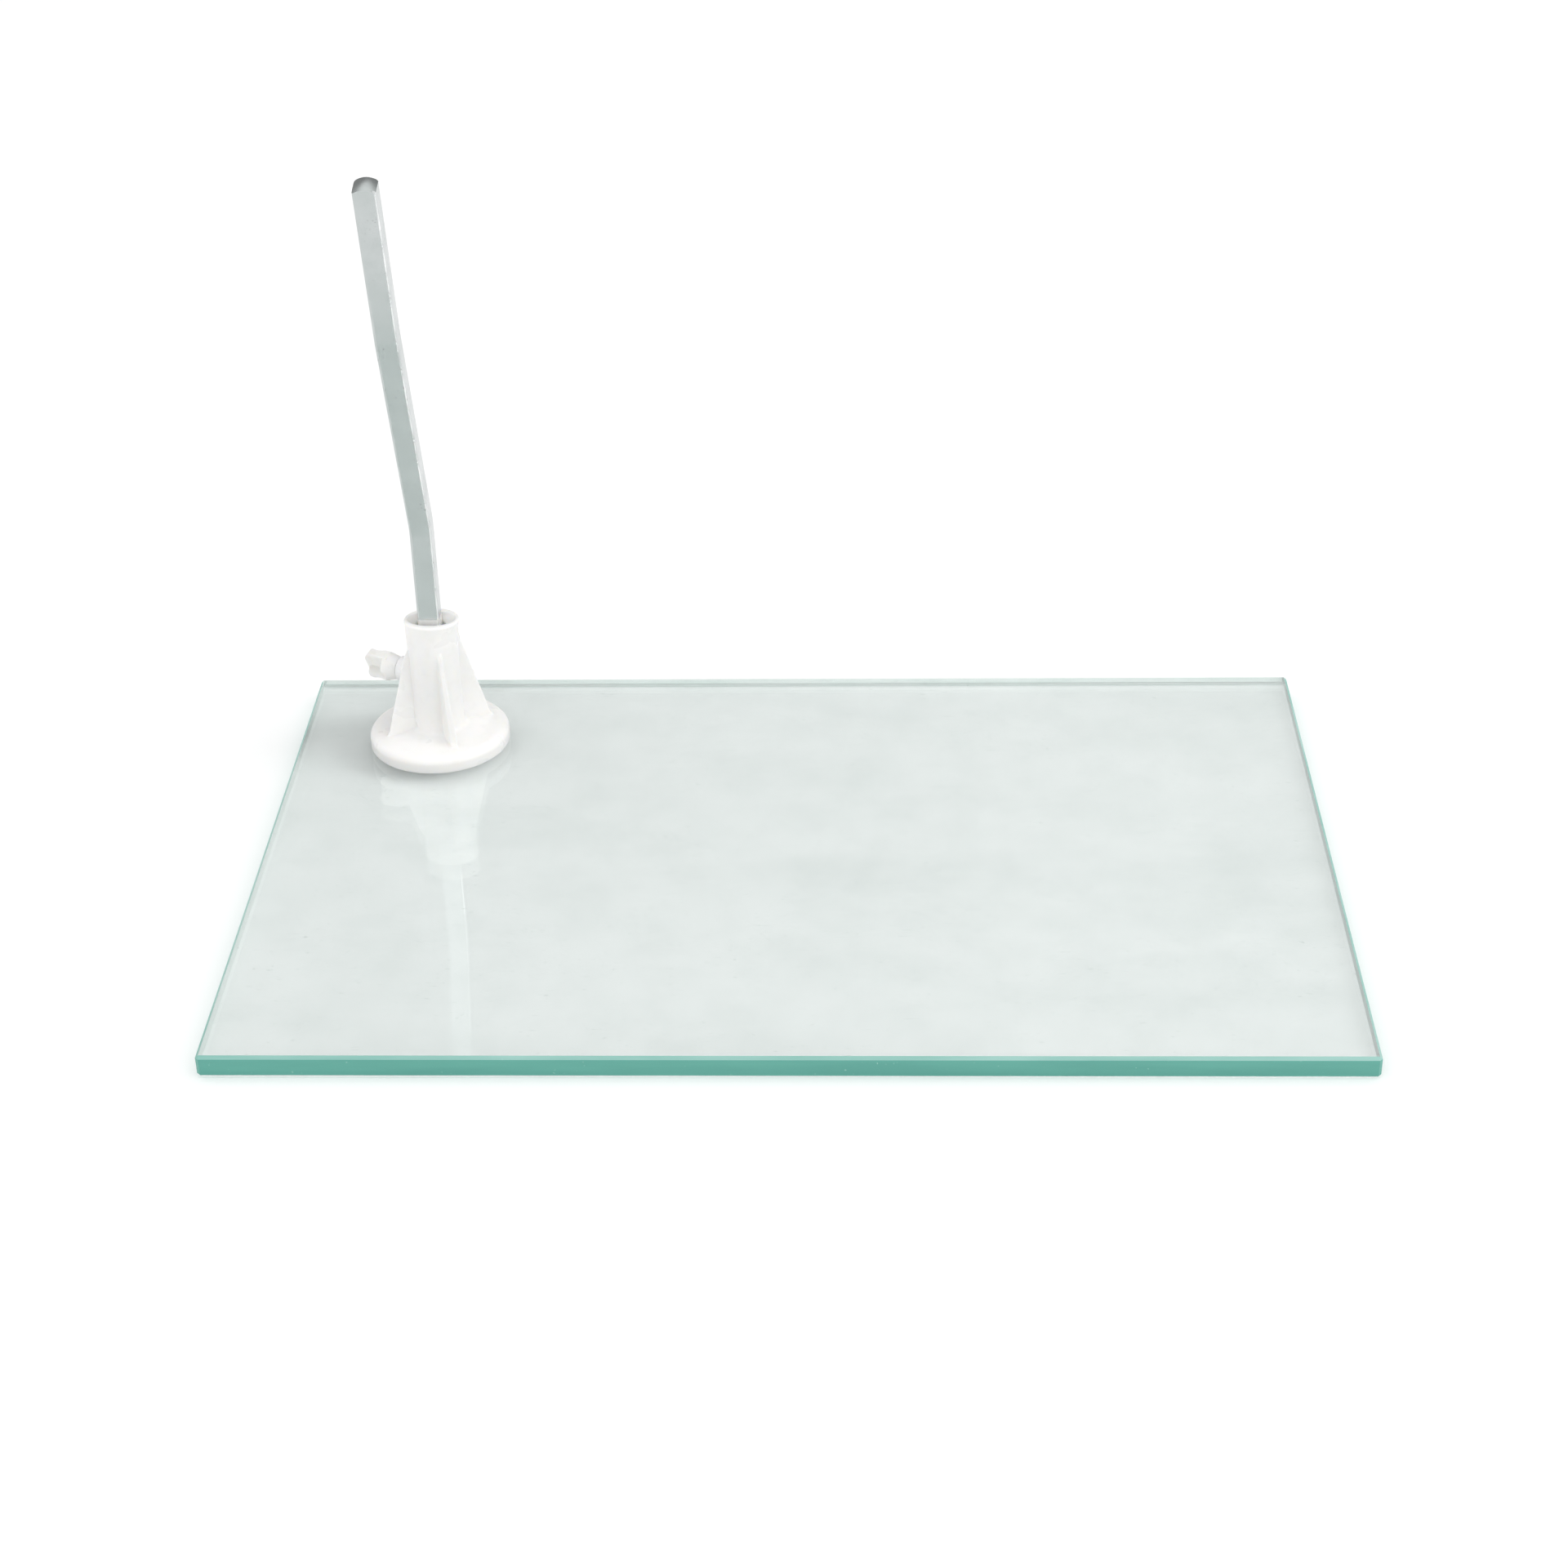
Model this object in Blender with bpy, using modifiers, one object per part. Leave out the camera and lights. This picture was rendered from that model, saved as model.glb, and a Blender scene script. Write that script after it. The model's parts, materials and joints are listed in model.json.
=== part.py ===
"""Display-form base: a glass plate, a clamp socket bolted through it and a bent square bar.

The plate lies in the XY plane with its underside at Z = 0 and its centre on the Z axis. The long
side runs along X and the front edge is at -Y. All sizes are in metres, and angles are in degrees.
"""

import math

import bmesh
import bpy
from mathutils import Matrix, Vector

# ---- Driving sizes ---------------------------------------------------------------------------

GAP = 0.0003  # between pieces that touch on the real object

PLATE_LENGTH = 0.380
PLATE_DEPTH = 0.250
PLATE_THICKNESS = 0.008
PLATE_ARRIS = 0.001  # ground chamfer on every edge of the glass

SOCKET_FROM_LEFT = 0.0535  # socket axis to the plate's left edge
SOCKET_FROM_BACK = 0.0474  # socket axis to the plate's back edge
SOCKET_TURN = 24.0  # first rib, anticlockwise from +X
SOCKET_HEIGHT = 0.0520  # rim above the glass
FLANGE_RADIUS = 0.0264
FLANGE_THICKNESS = 0.0060  # at the top of the rounded shoulder
FLANGE_CROWN = 0.0013  # rise of the flange from its shoulder to the neck
FLANGE_SHOULDER = 0.0028  # rounding of the flange's outer top edge
NECK_WALL = 0.0039
NECK_FILLET = 0.0014
RIM_STEP = 0.0007  # how much wider the rim is than the neck
RIM_WALL = 0.0011
RIM_ROUNDING = 0.0009
RIM_FLARE = 0.010  # length over which the neck widens to the rim
BORE_CLEARANCE = 0.0003  # round bore to the bar's corners
BORE_FLOOR = 0.0030  # solid web between the bore and the nut pocket
MOUTH_FLATTENING = 0.66  # funnel depth front to back, as a share of its width
MOUTH_DEPTH = 0.009
PINCH_DEPTH = 0.0022  # how far the rim is drawn in at the front and at the back
PINCH_HEIGHT = 0.014  # length of neck over which it is drawn in

RIB_COUNT = 4
RIB_THICKNESS = 0.0024
RIB_DROP = 0.0110  # rim to the top of a rib
RIB_TOP_STEP = 0.0009  # how far a rib's top stands out from the neck
RIB_FOOT_INSET = 0.0061  # flange's edge to a rib's foot
RIB_TOE = 0.0012  # length of the rounded toe at a rib's foot

GASKET_INSET = 0.0064  # flange's edge to the gasket's edge
GASKET_THICKNESS = 0.0008

BASE_SCREW_RADIUS = 0.0030
BASE_SCREW_HEAD_RADIUS = 0.0060
BASE_NUT_WIDTH = 0.0100
BASE_NUT_THICKNESS = 0.0050
SLEEVE_WALL = 0.0019
DRIVE_WIDTH = 0.0042  # square socket in the screw's head
DRIVE_DEPTH = 0.0018

BAR_WIDTH = 0.008
BAR_EDGE = 0.0009  # rounding of the bar's long edges
BAR_ABOVE_RIM = 0.0385  # rim to the first bend
BAR_MIDDLE = 0.0911  # first bend to the second bend
BAR_UPPER = 0.0626  # second bend to the top
BAR_LEAN_MIDDLE = 20.2  # lean towards the front above the first bend
BAR_LEAN_UPPER = 13.7
BAR_BEND_RADIUS = 0.018
BAR_BEND_STEPS = 5

CLAMP_HEIGHT = 0.0280  # clamp screw's axis above the glass
BOSS_LENGTH = 0.0051  # boss's outer face to the neck
BOSS_WALL = 0.0009
BOSS_TAPER = 0.0012  # how much wider the boss is at the bore
INSERT_LENGTH = 0.0060
INSERT_WALL = 0.0007
SHANK_RADIUS = 0.0025
SHANK_TIP_RADIUS = 0.0015
SHANK_TIP_CHAMFER = 0.0010
HEAD_HUB_LENGTH = 0.0050
HEAD_HUB_WALL = 0.0014
HEAD_LENGTH = 0.0134
HEAD_SPAN = 0.0116
HEAD_THICKNESS = 0.0040
HEAD_CORNER = 0.0022
HEAD_NOTCH = 0.0008
HEAD_TILT = -10.0  # turn of the wings from upright when clamped

ROUND_STEPS = 48  # sides of a turned piece
SMALL_STEPS = 32  # sides of a small round piece

# ---- Sizes that follow -----------------------------------------------------------------------

AXIS_X = -PLATE_LENGTH / 2 + SOCKET_FROM_LEFT
AXIS_Y = PLATE_DEPTH / 2 - SOCKET_FROM_BACK
BAR_CORNER = (BAR_WIDTH / 2 - BAR_EDGE) * math.sqrt(2.0) + BAR_EDGE
BORE_RADIUS = BAR_CORNER + BORE_CLEARANCE
NECK_RADIUS = BORE_RADIUS + NECK_WALL
RIM_RADIUS = NECK_RADIUS + RIM_STEP
MOUTH_RADIUS = RIM_RADIUS - RIM_WALL  # half width of the funnel at the rim
RIB_HEIGHT = SOCKET_HEIGHT - RIB_DROP
RIB_FOOT_RADIUS = FLANGE_RADIUS - RIB_FOOT_INSET
GASKET_RADIUS = FLANGE_RADIUS - GASKET_INSET
FOOT_BOTTOM = GAP
GASKET_TOP = GAP + GASKET_THICKNESS
NUT_BOTTOM = GASKET_TOP + 2 * GAP
NUT_TOP = NUT_BOTTOM + BASE_NUT_THICKNESS
POCKET_TOP = NUT_TOP + GAP
BORE_BOTTOM = POCKET_TOP + BORE_FLOOR
BAR_STRAIGHT = SOCKET_HEIGHT - BORE_BOTTOM - GAP + BAR_ABOVE_RIM  # lower end to the first bend
RIB_PITCH = 360.0 / RIB_COUNT
CLAMP_TURN = SOCKET_TURN + RIB_PITCH * 1.5  # the boss sits midway between two ribs
SLEEVE_BORE = BASE_SCREW_RADIUS + GAP
SLEEVE_RADIUS = SLEEVE_BORE + SLEEVE_WALL
HOLE_RADIUS = SLEEVE_RADIUS + GAP
INSERT_BORE = SHANK_RADIUS + GAP
INSERT_RADIUS = INSERT_BORE + INSERT_WALL
BOSS_FACE = NECK_RADIUS + BOSS_LENGTH  # distance from the socket axis
BOSS_RADIUS = INSERT_RADIUS + GAP + BOSS_WALL
BOSS_ROOT_RADIUS = BOSS_RADIUS + BOSS_TAPER
HEAD_START = BOSS_FACE + GAP
HEAD_HUB_RADIUS = INSERT_BORE + HEAD_HUB_WALL
SHANK_END = HEAD_START + HEAD_HUB_LENGTH - HEAD_HUB_WALL

# ---- Scene and helpers -----------------------------------------------------------------------

for old in list(bpy.data.objects):
    bpy.data.objects.remove(old)

PARTS = bpy.data.collections.new("display_form_base")
CUTTERS = bpy.data.collections.new("cutters")
CUTTERS.hide_render = True
bpy.context.scene.collection.children.link(PARTS)
bpy.context.scene.collection.children.link(CUTTERS)


def material(name, colour, roughness, metallic=0.0, transmission=0.0):
    """One Principled BSDF material."""
    made = bpy.data.materials.new(name)
    made.use_nodes = True
    shader = made.node_tree.nodes["Principled BSDF"]
    shader.inputs["Base Color"].default_value = (*colour, 1.0)
    shader.inputs["Roughness"].default_value = roughness
    shader.inputs["Metallic"].default_value = metallic
    shader.inputs["Transmission Weight"].default_value = transmission
    return made


GLASS = material("clear_glass", (0.80, 0.93, 0.89), 0.03, transmission=1.0)
WHITE_PLASTIC = material("white_plastic", (0.90, 0.90, 0.88), 0.32)
CHROME = material("chrome_plate", (0.78, 0.80, 0.79), 0.14, metallic=1.0)
STEEL = material("zinc_steel", (0.62, 0.62, 0.60), 0.35, metallic=1.0)
BRASS = material("brass", (0.78, 0.60, 0.30), 0.30, metallic=1.0)
SOFT_PVC = material("soft_pvc", (0.82, 0.86, 0.84), 0.45)
NYLON = material("nylon", (0.88, 0.88, 0.84), 0.45)


def empty(name, parent, location, turn=0.0):
    """A joint's frame, turned about Z."""
    made = bpy.data.objects.new(name, None)
    made.parent = parent
    made.location = location
    made.rotation_euler = (0.0, 0.0, math.radians(turn))
    PARTS.objects.link(made)
    return made


def add_piece(name, mesh, look, parent=None, location=(0.0, 0.0, 0.0)):
    """A visible piece of the object, smooth except at its sharp edges."""
    made = bpy.data.objects.new(name, mesh)
    made.parent = parent
    made.location = location
    mesh.materials.append(look)
    mesh.shade_smooth()
    PARTS.objects.link(made)
    return made


def add_cutter(name, mesh, parent=None, location=(0.0, 0.0, 0.0)):
    """A shape that only cuts or joins."""
    made = bpy.data.objects.new(name, mesh)
    made.parent = parent
    made.location = location
    made.display_type = "WIRE"
    made.hide_render = True
    CUTTERS.objects.link(made)
    return made


def boolean(piece, other, operation="DIFFERENCE"):
    """A live cut or join."""
    step = piece.modifiers.new(operation.lower() + "_" + other.name, "BOOLEAN")
    step.operation = operation
    step.solver = "EXACT"
    step.object = other


def mesh_from(bm, name):
    """Closes a bmesh into a mesh with its faces pointing out."""
    bmesh.ops.recalc_face_normals(bm, faces=bm.faces)
    mesh = bpy.data.meshes.new(name)
    bm.to_mesh(mesh)
    bm.free()
    return mesh


def cone_mesh(name, start, end, radius_start, radius_end, along="X", steps=SMALL_STEPS):
    """A cone or cylinder between two places on the local X or Z axis."""
    bm = bmesh.new()
    bmesh.ops.create_cone(
        bm,
        cap_ends=True,
        segments=steps,
        radius1=radius_start,
        radius2=radius_end,
        depth=end - start,
    )
    bmesh.ops.translate(bm, verts=bm.verts, vec=(0.0, 0.0, (start + end) / 2))
    if along == "X":
        bmesh.ops.rotate(bm, verts=bm.verts, matrix=Matrix.Rotation(math.pi / 2, 3, "Y"))
    return mesh_from(bm, name)


def box_mesh(name, size, centre):
    """A box of the given size about its centre."""
    bm = bmesh.new()
    bmesh.ops.create_cube(bm, size=1.0)
    bmesh.ops.scale(bm, verts=bm.verts, vec=size)
    bmesh.ops.translate(bm, verts=bm.verts, vec=centre)
    return mesh_from(bm, name)


def arc(centre_x, centre_z, radius, first, last, steps=4):
    """Points on an arc in the profile plane, angles measured up from +X."""
    points = []
    for i in range(steps + 1):
        angle = math.radians(first + (last - first) * i / steps)
        points.append((centre_x + radius * math.cos(angle), centre_z + radius * math.sin(angle)))
    return points


def turned_mesh(name, profile, closed=False):
    """The profile of a turned piece, in the XZ plane, for a Screw modifier."""
    bm = bmesh.new()
    points = [bm.verts.new((x, 0.0, z)) for x, z in profile]
    for first, second in zip(points, points[1:]):
        bm.edges.new((first, second))
    if closed:
        bm.edges.new((points[-1], points[0]))
    mesh = bpy.data.meshes.new(name)
    bm.to_mesh(mesh)
    bm.free()
    return mesh


def turn(piece, steps=ROUND_STEPS):
    """Turns a profile about the piece's own Z axis."""
    screw = piece.modifiers.new("turned", "SCREW")
    screw.axis = "Z"
    screw.steps = steps
    screw.render_steps = steps
    screw.use_merge_vertices = True
    screw.merge_threshold = 0.00001
    return piece


def flat_mesh(name, outline, thickness):
    """A flat closed outline in the XY plane, thickened both ways along Z."""
    curve = bpy.data.curves.new(name, "CURVE")
    curve.dimensions = "2D"
    curve.fill_mode = "BOTH"
    curve.extrude = thickness / 2
    spline = curve.splines.new("POLY")
    spline.points.add(len(outline) - 1)
    for point, (x, y) in zip(spline.points, outline):
        point.co = (x, y, 0.0, 1.0)
    spline.use_cyclic_u = True
    drawn = bpy.data.objects.new(name, curve)
    CUTTERS.objects.link(drawn)
    graph = bpy.context.evaluated_depsgraph_get()
    mesh = bpy.data.meshes.new_from_object(drawn.evaluated_get(graph))
    bpy.data.objects.remove(drawn)
    bm = bmesh.new()
    bm.from_mesh(mesh)
    bmesh.ops.remove_doubles(bm, verts=bm.verts, dist=0.000001)
    bmesh.ops.recalc_face_normals(bm, faces=bm.faces)
    bm.to_mesh(mesh)
    bm.free()
    return mesh


# ---- Glass plate -----------------------------------------------------------------------------


def build_plate():
    """Clear glass with ground arrises and one countersunk hole below the socket."""
    size = (PLATE_LENGTH, PLATE_DEPTH, PLATE_THICKNESS)
    mesh = box_mesh("glass_plate", size, (0.0, 0.0, PLATE_THICKNESS / 2))
    plate = add_piece("glass_plate", mesh, GLASS)
    arris = plate.modifiers.new("arris", "BEVEL")
    arris.width = PLATE_ARRIS
    arris.segments = 1
    countersink = BASE_SCREW_HEAD_RADIUS + SLEEVE_WALL + 4 * GAP
    reach = countersink - HOLE_RADIUS
    profile = [
        (0.0, PLATE_THICKNESS * 1.5),
        (HOLE_RADIUS, PLATE_THICKNESS * 1.5),
        (HOLE_RADIUS, reach),
        (countersink + reach, -reach),
        (0.0, -reach),
    ]
    hole = add_cutter("plate_hole", turned_mesh("plate_hole", profile), None, (AXIS_X, AXIS_Y, 0.0))
    turn(hole)
    boolean(plate, hole)
    return countersink


def build_sleeve(countersink):
    """Plastic sleeve that fills the countersunk hole and keeps steel off the glass."""
    outer = countersink - GAP * math.sqrt(2.0)
    inner = BASE_SCREW_HEAD_RADIUS + GAP * math.sqrt(2.0) + GAP
    top = PLATE_THICKNESS - GAP
    profile = [
        (SLEEVE_RADIUS, top),
        (SLEEVE_RADIUS, outer - SLEEVE_RADIUS),
        (outer - GAP, GAP),
        (inner - GAP, GAP),
        (SLEEVE_BORE, inner - SLEEVE_BORE),
        (SLEEVE_BORE, top),
    ]
    mesh = turned_mesh("hole_sleeve", profile, closed=True)
    turn(add_piece("hole_sleeve", mesh, NYLON, None, (AXIS_X, AXIS_Y, 0.0)), SMALL_STEPS)


# ---- Socket and what turns with it -----------------------------------------------------------


def socket_profile():
    """Outer half section of the socket, from the rim down to the foot."""
    rim_z = SOCKET_HEIGHT - RIM_ROUNDING
    shoulder_z = FLANGE_THICKNESS - FLANGE_SHOULDER
    neck_foot = FLANGE_THICKNESS + FLANGE_CROWN
    flare = []
    for i in range(1, 6):
        share = i / 5
        radius = RIM_RADIUS + (NECK_RADIUS - RIM_RADIUS) * math.sin(share * math.pi / 2)
        flare.append((radius, rim_z - RIM_FLARE * share))
    foot = arc(NECK_RADIUS + NECK_FILLET, neck_foot + NECK_FILLET, NECK_FILLET, 180.0, 262.0)
    return [
        (0.0, SOCKET_HEIGHT),
        *arc(RIM_RADIUS - RIM_ROUNDING, rim_z, RIM_ROUNDING, 90.0, 0.0),
        *flare,
        *foot,
        *arc(FLANGE_RADIUS - FLANGE_SHOULDER, shoulder_z, FLANGE_SHOULDER, 86.0, 0.0, 6),
        (FLANGE_RADIUS, FOOT_BOTTOM + GAP),
        (FLANGE_RADIUS - GAP, FOOT_BOTTOM),
        (0.0, FOOT_BOTTOM),
    ]


def rib_outline():
    """A rib's side view: X outwards from the socket axis, Y upwards."""
    root = (BORE_RADIUS + NECK_RADIUS) / 2
    base = FLANGE_THICKNESS / 2
    toe_z = FLANGE_THICKNESS + FLANGE_CROWN * 0.2
    return [
        (root, base),
        (RIB_FOOT_RADIUS + RIB_TOE, base),
        (RIB_FOOT_RADIUS + RIB_TOE, FLANGE_THICKNESS - GAP),
        (RIB_FOOT_RADIUS + RIB_TOE * 0.35, toe_z + RIB_TOE * 0.2),
        (RIB_FOOT_RADIUS, toe_z + RIB_TOE * 0.7),
        (NECK_RADIUS + RIB_TOP_STEP, RIB_HEIGHT - RIB_TOP_STEP),
        (NECK_RADIUS + RIB_TOP_STEP * 0.3, RIB_HEIGHT),
        (root, RIB_HEIGHT + RIB_TOP_STEP),
    ]


def build_socket(socket_axis, clamp_axis):
    """One moulding: flange, neck, ribs and boss, bored for the bar and the clamp screw."""
    mesh = turned_mesh("socket_body", socket_profile())
    socket = turn(add_piece("socket_body", mesh, WHITE_PLASTIC, socket_axis))

    stand_up = Matrix.Rotation(math.pi / 2, 4, "X")
    for i in range(RIB_COUNT):
        name = f"rib_{i + 1}"
        rib = flat_mesh(name, rib_outline(), RIB_THICKNESS)
        around = Matrix.Rotation(math.radians(RIB_PITCH * i), 4, "Z")
        rib.transform(around @ stand_up)
        boolean(socket, add_cutter(name, rib, socket_axis), "UNION")

    boss = cone_mesh("boss", BORE_RADIUS + GAP, BOSS_FACE, BOSS_ROOT_RADIUS, BOSS_RADIUS)
    boolean(socket, add_cutter("boss", boss, clamp_axis), "UNION")

    bore_top = SOCKET_HEIGHT + MOUTH_DEPTH
    bore = cone_mesh("bar_bore", BORE_BOTTOM, bore_top, BORE_RADIUS, BORE_RADIUS, "Z", ROUND_STEPS)
    boolean(socket, add_cutter("bar_bore", bore, socket_axis))

    lean = math.atan2(PINCH_DEPTH, PINCH_HEIGHT)
    for name, side in (("pinch_front", -1.0), ("pinch_back", 1.0)):
        reach = RIM_RADIUS * 3
        size = (reach, reach, 2 * (RIB_DROP - GAP))
        pinch = box_mesh(name, size, (0.0, side * reach / 2, 0.0))
        pinch.transform(Matrix.Rotation(side * lean, 4, "X"))
        pinch.transform(Matrix.Translation((0.0, side * (RIM_RADIUS - PINCH_DEPTH), SOCKET_HEIGHT)))
        pinch.transform(Matrix.Rotation(math.radians(-SOCKET_TURN), 4, "Z"))
        boolean(socket, add_cutter(name, pinch, socket_axis))

    slope = (MOUTH_RADIUS - BORE_RADIUS) / MOUTH_DEPTH
    start = SOCKET_HEIGHT - MOUTH_DEPTH
    end = SOCKET_HEIGHT + MOUTH_DEPTH / 3
    wide = MOUTH_RADIUS + slope * MOUTH_DEPTH / 3
    mouth = cone_mesh("mouth", start, end, BORE_RADIUS, wide, "Z", ROUND_STEPS)
    mouth.transform(Matrix.Diagonal((1.0, MOUTH_FLATTENING, 1.0, 1.0)))
    square_on = Matrix.Rotation(math.radians(-SOCKET_TURN), 4, "Z")
    mouth.transform(square_on)
    boolean(socket, add_cutter("mouth", mouth, socket_axis))

    pocket = BASE_NUT_WIDTH + 2 * GAP
    cut = box_mesh("nut_pocket", (pocket, pocket, 2 * POCKET_TOP), (0.0, 0.0, 0.0))
    boolean(socket, add_cutter("nut_pocket", cut, socket_axis))
    recess = GASKET_RADIUS + GAP
    cut = cone_mesh("recess", -GAP, GASKET_TOP + GAP, recess, recess, "Z", ROUND_STEPS)
    boolean(socket, add_cutter("gasket_recess", cut, socket_axis))

    seat = INSERT_RADIUS + GAP
    inner_end = BOSS_FACE - GAP - INSERT_LENGTH - GAP
    cut = cone_mesh("insert_seat", inner_end, BOSS_FACE * 1.5, seat, seat)
    boolean(socket, add_cutter("insert_seat", cut, clamp_axis))
    cut = cone_mesh("shank_hole", 0.0, BOSS_FACE, INSERT_BORE, INSERT_BORE)
    boolean(socket, add_cutter("shank_hole", cut, clamp_axis))


def build_gasket(socket_axis):
    """Soft washer that spreads the socket's load on the glass."""
    profile = [
        (GASKET_RADIUS, GASKET_TOP),
        (GASKET_RADIUS, GAP),
        (SLEEVE_BORE, GAP),
        (SLEEVE_BORE, GASKET_TOP),
    ]
    mesh = turned_mesh("flange_gasket", profile, closed=True)
    turn(add_piece("flange_gasket", mesh, SOFT_PVC, socket_axis))


def build_base_fastener(socket_axis):
    """Countersunk screw from below and the square nut that it pulls on."""
    below = -PLATE_THICKNESS + GAP
    cone = BASE_SCREW_HEAD_RADIUS - BASE_SCREW_RADIUS
    tip = NUT_TOP - GAP
    profile = [
        (0.0, tip),
        (BASE_SCREW_RADIUS - 2 * GAP, tip),
        (BASE_SCREW_RADIUS, tip - 2 * GAP),
        (BASE_SCREW_RADIUS, below + GAP + cone),
        (BASE_SCREW_HEAD_RADIUS, below + GAP),
        (BASE_SCREW_HEAD_RADIUS, below),
        (0.0, below),
    ]
    mesh = turned_mesh("base_screw", profile)
    screw = turn(add_piece("base_screw", mesh, STEEL, socket_axis), SMALL_STEPS)
    size = (DRIVE_WIDTH, DRIVE_WIDTH, 2 * DRIVE_DEPTH)
    drive = add_cutter("drive", box_mesh("drive", size, (0.0, 0.0, below)), socket_axis)
    boolean(screw, drive)

    size = (BASE_NUT_WIDTH, BASE_NUT_WIDTH, BASE_NUT_THICKNESS)
    mesh = box_mesh("base_nut", size, (0.0, 0.0, (NUT_BOTTOM + NUT_TOP) / 2))
    nut = add_piece("base_nut", mesh, STEEL, socket_axis)
    low, high = NUT_BOTTOM - GAP, NUT_TOP + GAP
    thread = cone_mesh("nut_thread", low, high, SLEEVE_BORE, SLEEVE_BORE, "Z")
    boolean(nut, add_cutter("nut_thread", thread, socket_axis))


# ---- Square bar ------------------------------------------------------------------------------


def bar_stations():
    """Places along the bar where its direction changes: (height along the bar, lean in radians)."""
    stations = [(0.0, 0.0)]
    lean = 0.0
    at = 0.0
    for run, next_lean in ((BAR_STRAIGHT, BAR_LEAN_MIDDLE), (BAR_MIDDLE, BAR_LEAN_UPPER)):
        at += run
        turned = math.radians(next_lean) - lean
        half = BAR_BEND_RADIUS * math.tan(abs(turned) / 2)
        for i in range(BAR_BEND_STEPS + 1):
            share = i / BAR_BEND_STEPS
            stations.append((at - half + 2 * half * share, lean + turned * share))
        lean = math.radians(next_lean)
    stations.append((at + BAR_UPPER, lean))
    return stations


def bar_path():
    """Centre line of the bar: (length along the bar, point, lean)."""
    path = []
    point = Vector((0.0, 0.0, 0.0))
    before = None
    for at, lean in bar_stations():
        if before is not None:
            step = at - before[0]
            mean = (lean + before[1]) / 2
            point = point + Vector((0.0, -math.sin(mean), math.cos(mean))) * step
        path.append((at, point.copy(), lean))
        before = (at, lean)
    return path


def build_bar(bar_axis):
    """Square bar, bent towards the front at two places."""
    path = bar_path()
    length = path[-1][0]
    bm = bmesh.new()
    bmesh.ops.create_cube(bm, size=1.0)
    bmesh.ops.scale(bm, verts=bm.verts, vec=(BAR_WIDTH, BAR_WIDTH, length))
    bmesh.ops.translate(bm, verts=bm.verts, vec=(0.0, 0.0, length / 2))
    for at, _, _ in path[1:-1]:
        bmesh.ops.bisect_plane(
            bm,
            geom=bm.verts[:] + bm.edges[:] + bm.faces[:],
            plane_co=(0.0, 0.0, at),
            plane_no=(0.0, 0.0, 1.0),
        )
    for vert in bm.verts:
        _, point, lean = min(path, key=lambda station: abs(station[0] - vert.co.z))
        across = Vector((0.0, math.cos(lean), math.sin(lean)))
        vert.co = point + across * vert.co.y + Vector((vert.co.x, 0.0, 0.0))
    bar = add_piece("square_bar", mesh_from(bm, "square_bar"), CHROME, bar_axis)
    edges = bar.modifiers.new("edges", "BEVEL")
    edges.width = BAR_EDGE
    edges.segments = 2
    edges.limit_method = "ANGLE"
    edges.angle_limit = math.radians(40.0)


# ---- Clamp screw -----------------------------------------------------------------------------


def build_insert(clamp_axis):
    """Threaded brass insert in the boss."""
    start = BOSS_FACE - GAP - INSERT_LENGTH
    end = BOSS_FACE - GAP
    mesh = cone_mesh("clamp_insert", start, end, INSERT_RADIUS, INSERT_RADIUS)
    insert = add_piece("threaded_insert", mesh, BRASS, clamp_axis)
    cut = cone_mesh("insert_bore", start - GAP, end + GAP, INSERT_BORE, INSERT_BORE)
    boolean(insert, add_cutter("insert_bore", cut, clamp_axis))


def shank_tip():
    """Where the shank's tip stops: a gap short of the bar's flat side, which it meets at an angle."""
    slant = math.radians(180.0 - CLAMP_TURN)
    return (BAR_WIDTH / 2 + GAP + SHANK_TIP_RADIUS * math.sin(abs(slant))) / math.cos(slant)


def build_shank(clamp_axis):
    """Steel shank of the clamp screw, moulded into the head."""
    tip = shank_tip()
    shoulder = tip + SHANK_TIP_CHAMFER
    bm = bmesh.new()
    bm.from_mesh(cone_mesh("shank", shoulder, SHANK_END, SHANK_RADIUS, SHANK_RADIUS))
    inner = min(bm.faces, key=lambda face: face.calc_center_median().x)
    ring = bmesh.ops.extrude_face_region(bm, geom=[inner])
    verts = [item for item in ring["geom"] if isinstance(item, bmesh.types.BMVert)]
    bmesh.ops.delete(bm, geom=[inner], context="FACES_ONLY")
    shrink = SHANK_TIP_RADIUS / SHANK_RADIUS
    bmesh.ops.scale(bm, verts=verts, vec=(1.0, shrink, shrink))
    bmesh.ops.translate(bm, verts=verts, vec=(-SHANK_TIP_CHAMFER, 0.0, 0.0))
    add_piece("wing_screw_shank", mesh_from(bm, "wing_screw_shank"), STEEL, clamp_axis)


def head_outline():
    """Side view of the wings: X outwards, Y upwards, with a shallow notch at the outer end."""
    half = HEAD_SPAN / 2
    end = HEAD_START + HEAD_LENGTH
    lobe_x = end - HEAD_CORNER
    lobe_y = half - HEAD_CORNER
    root = HEAD_START + HEAD_HUB_LENGTH * 0.8
    upper = arc(lobe_x, lobe_y, HEAD_CORNER, 95.0, -15.0)
    notch = [(end - HEAD_NOTCH, 0.0)]
    lower = [(x, -y) for x, y in reversed(upper)]
    return [(root, -half * 0.93), (root, half * 0.93), *upper, *notch, *lower]


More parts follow.
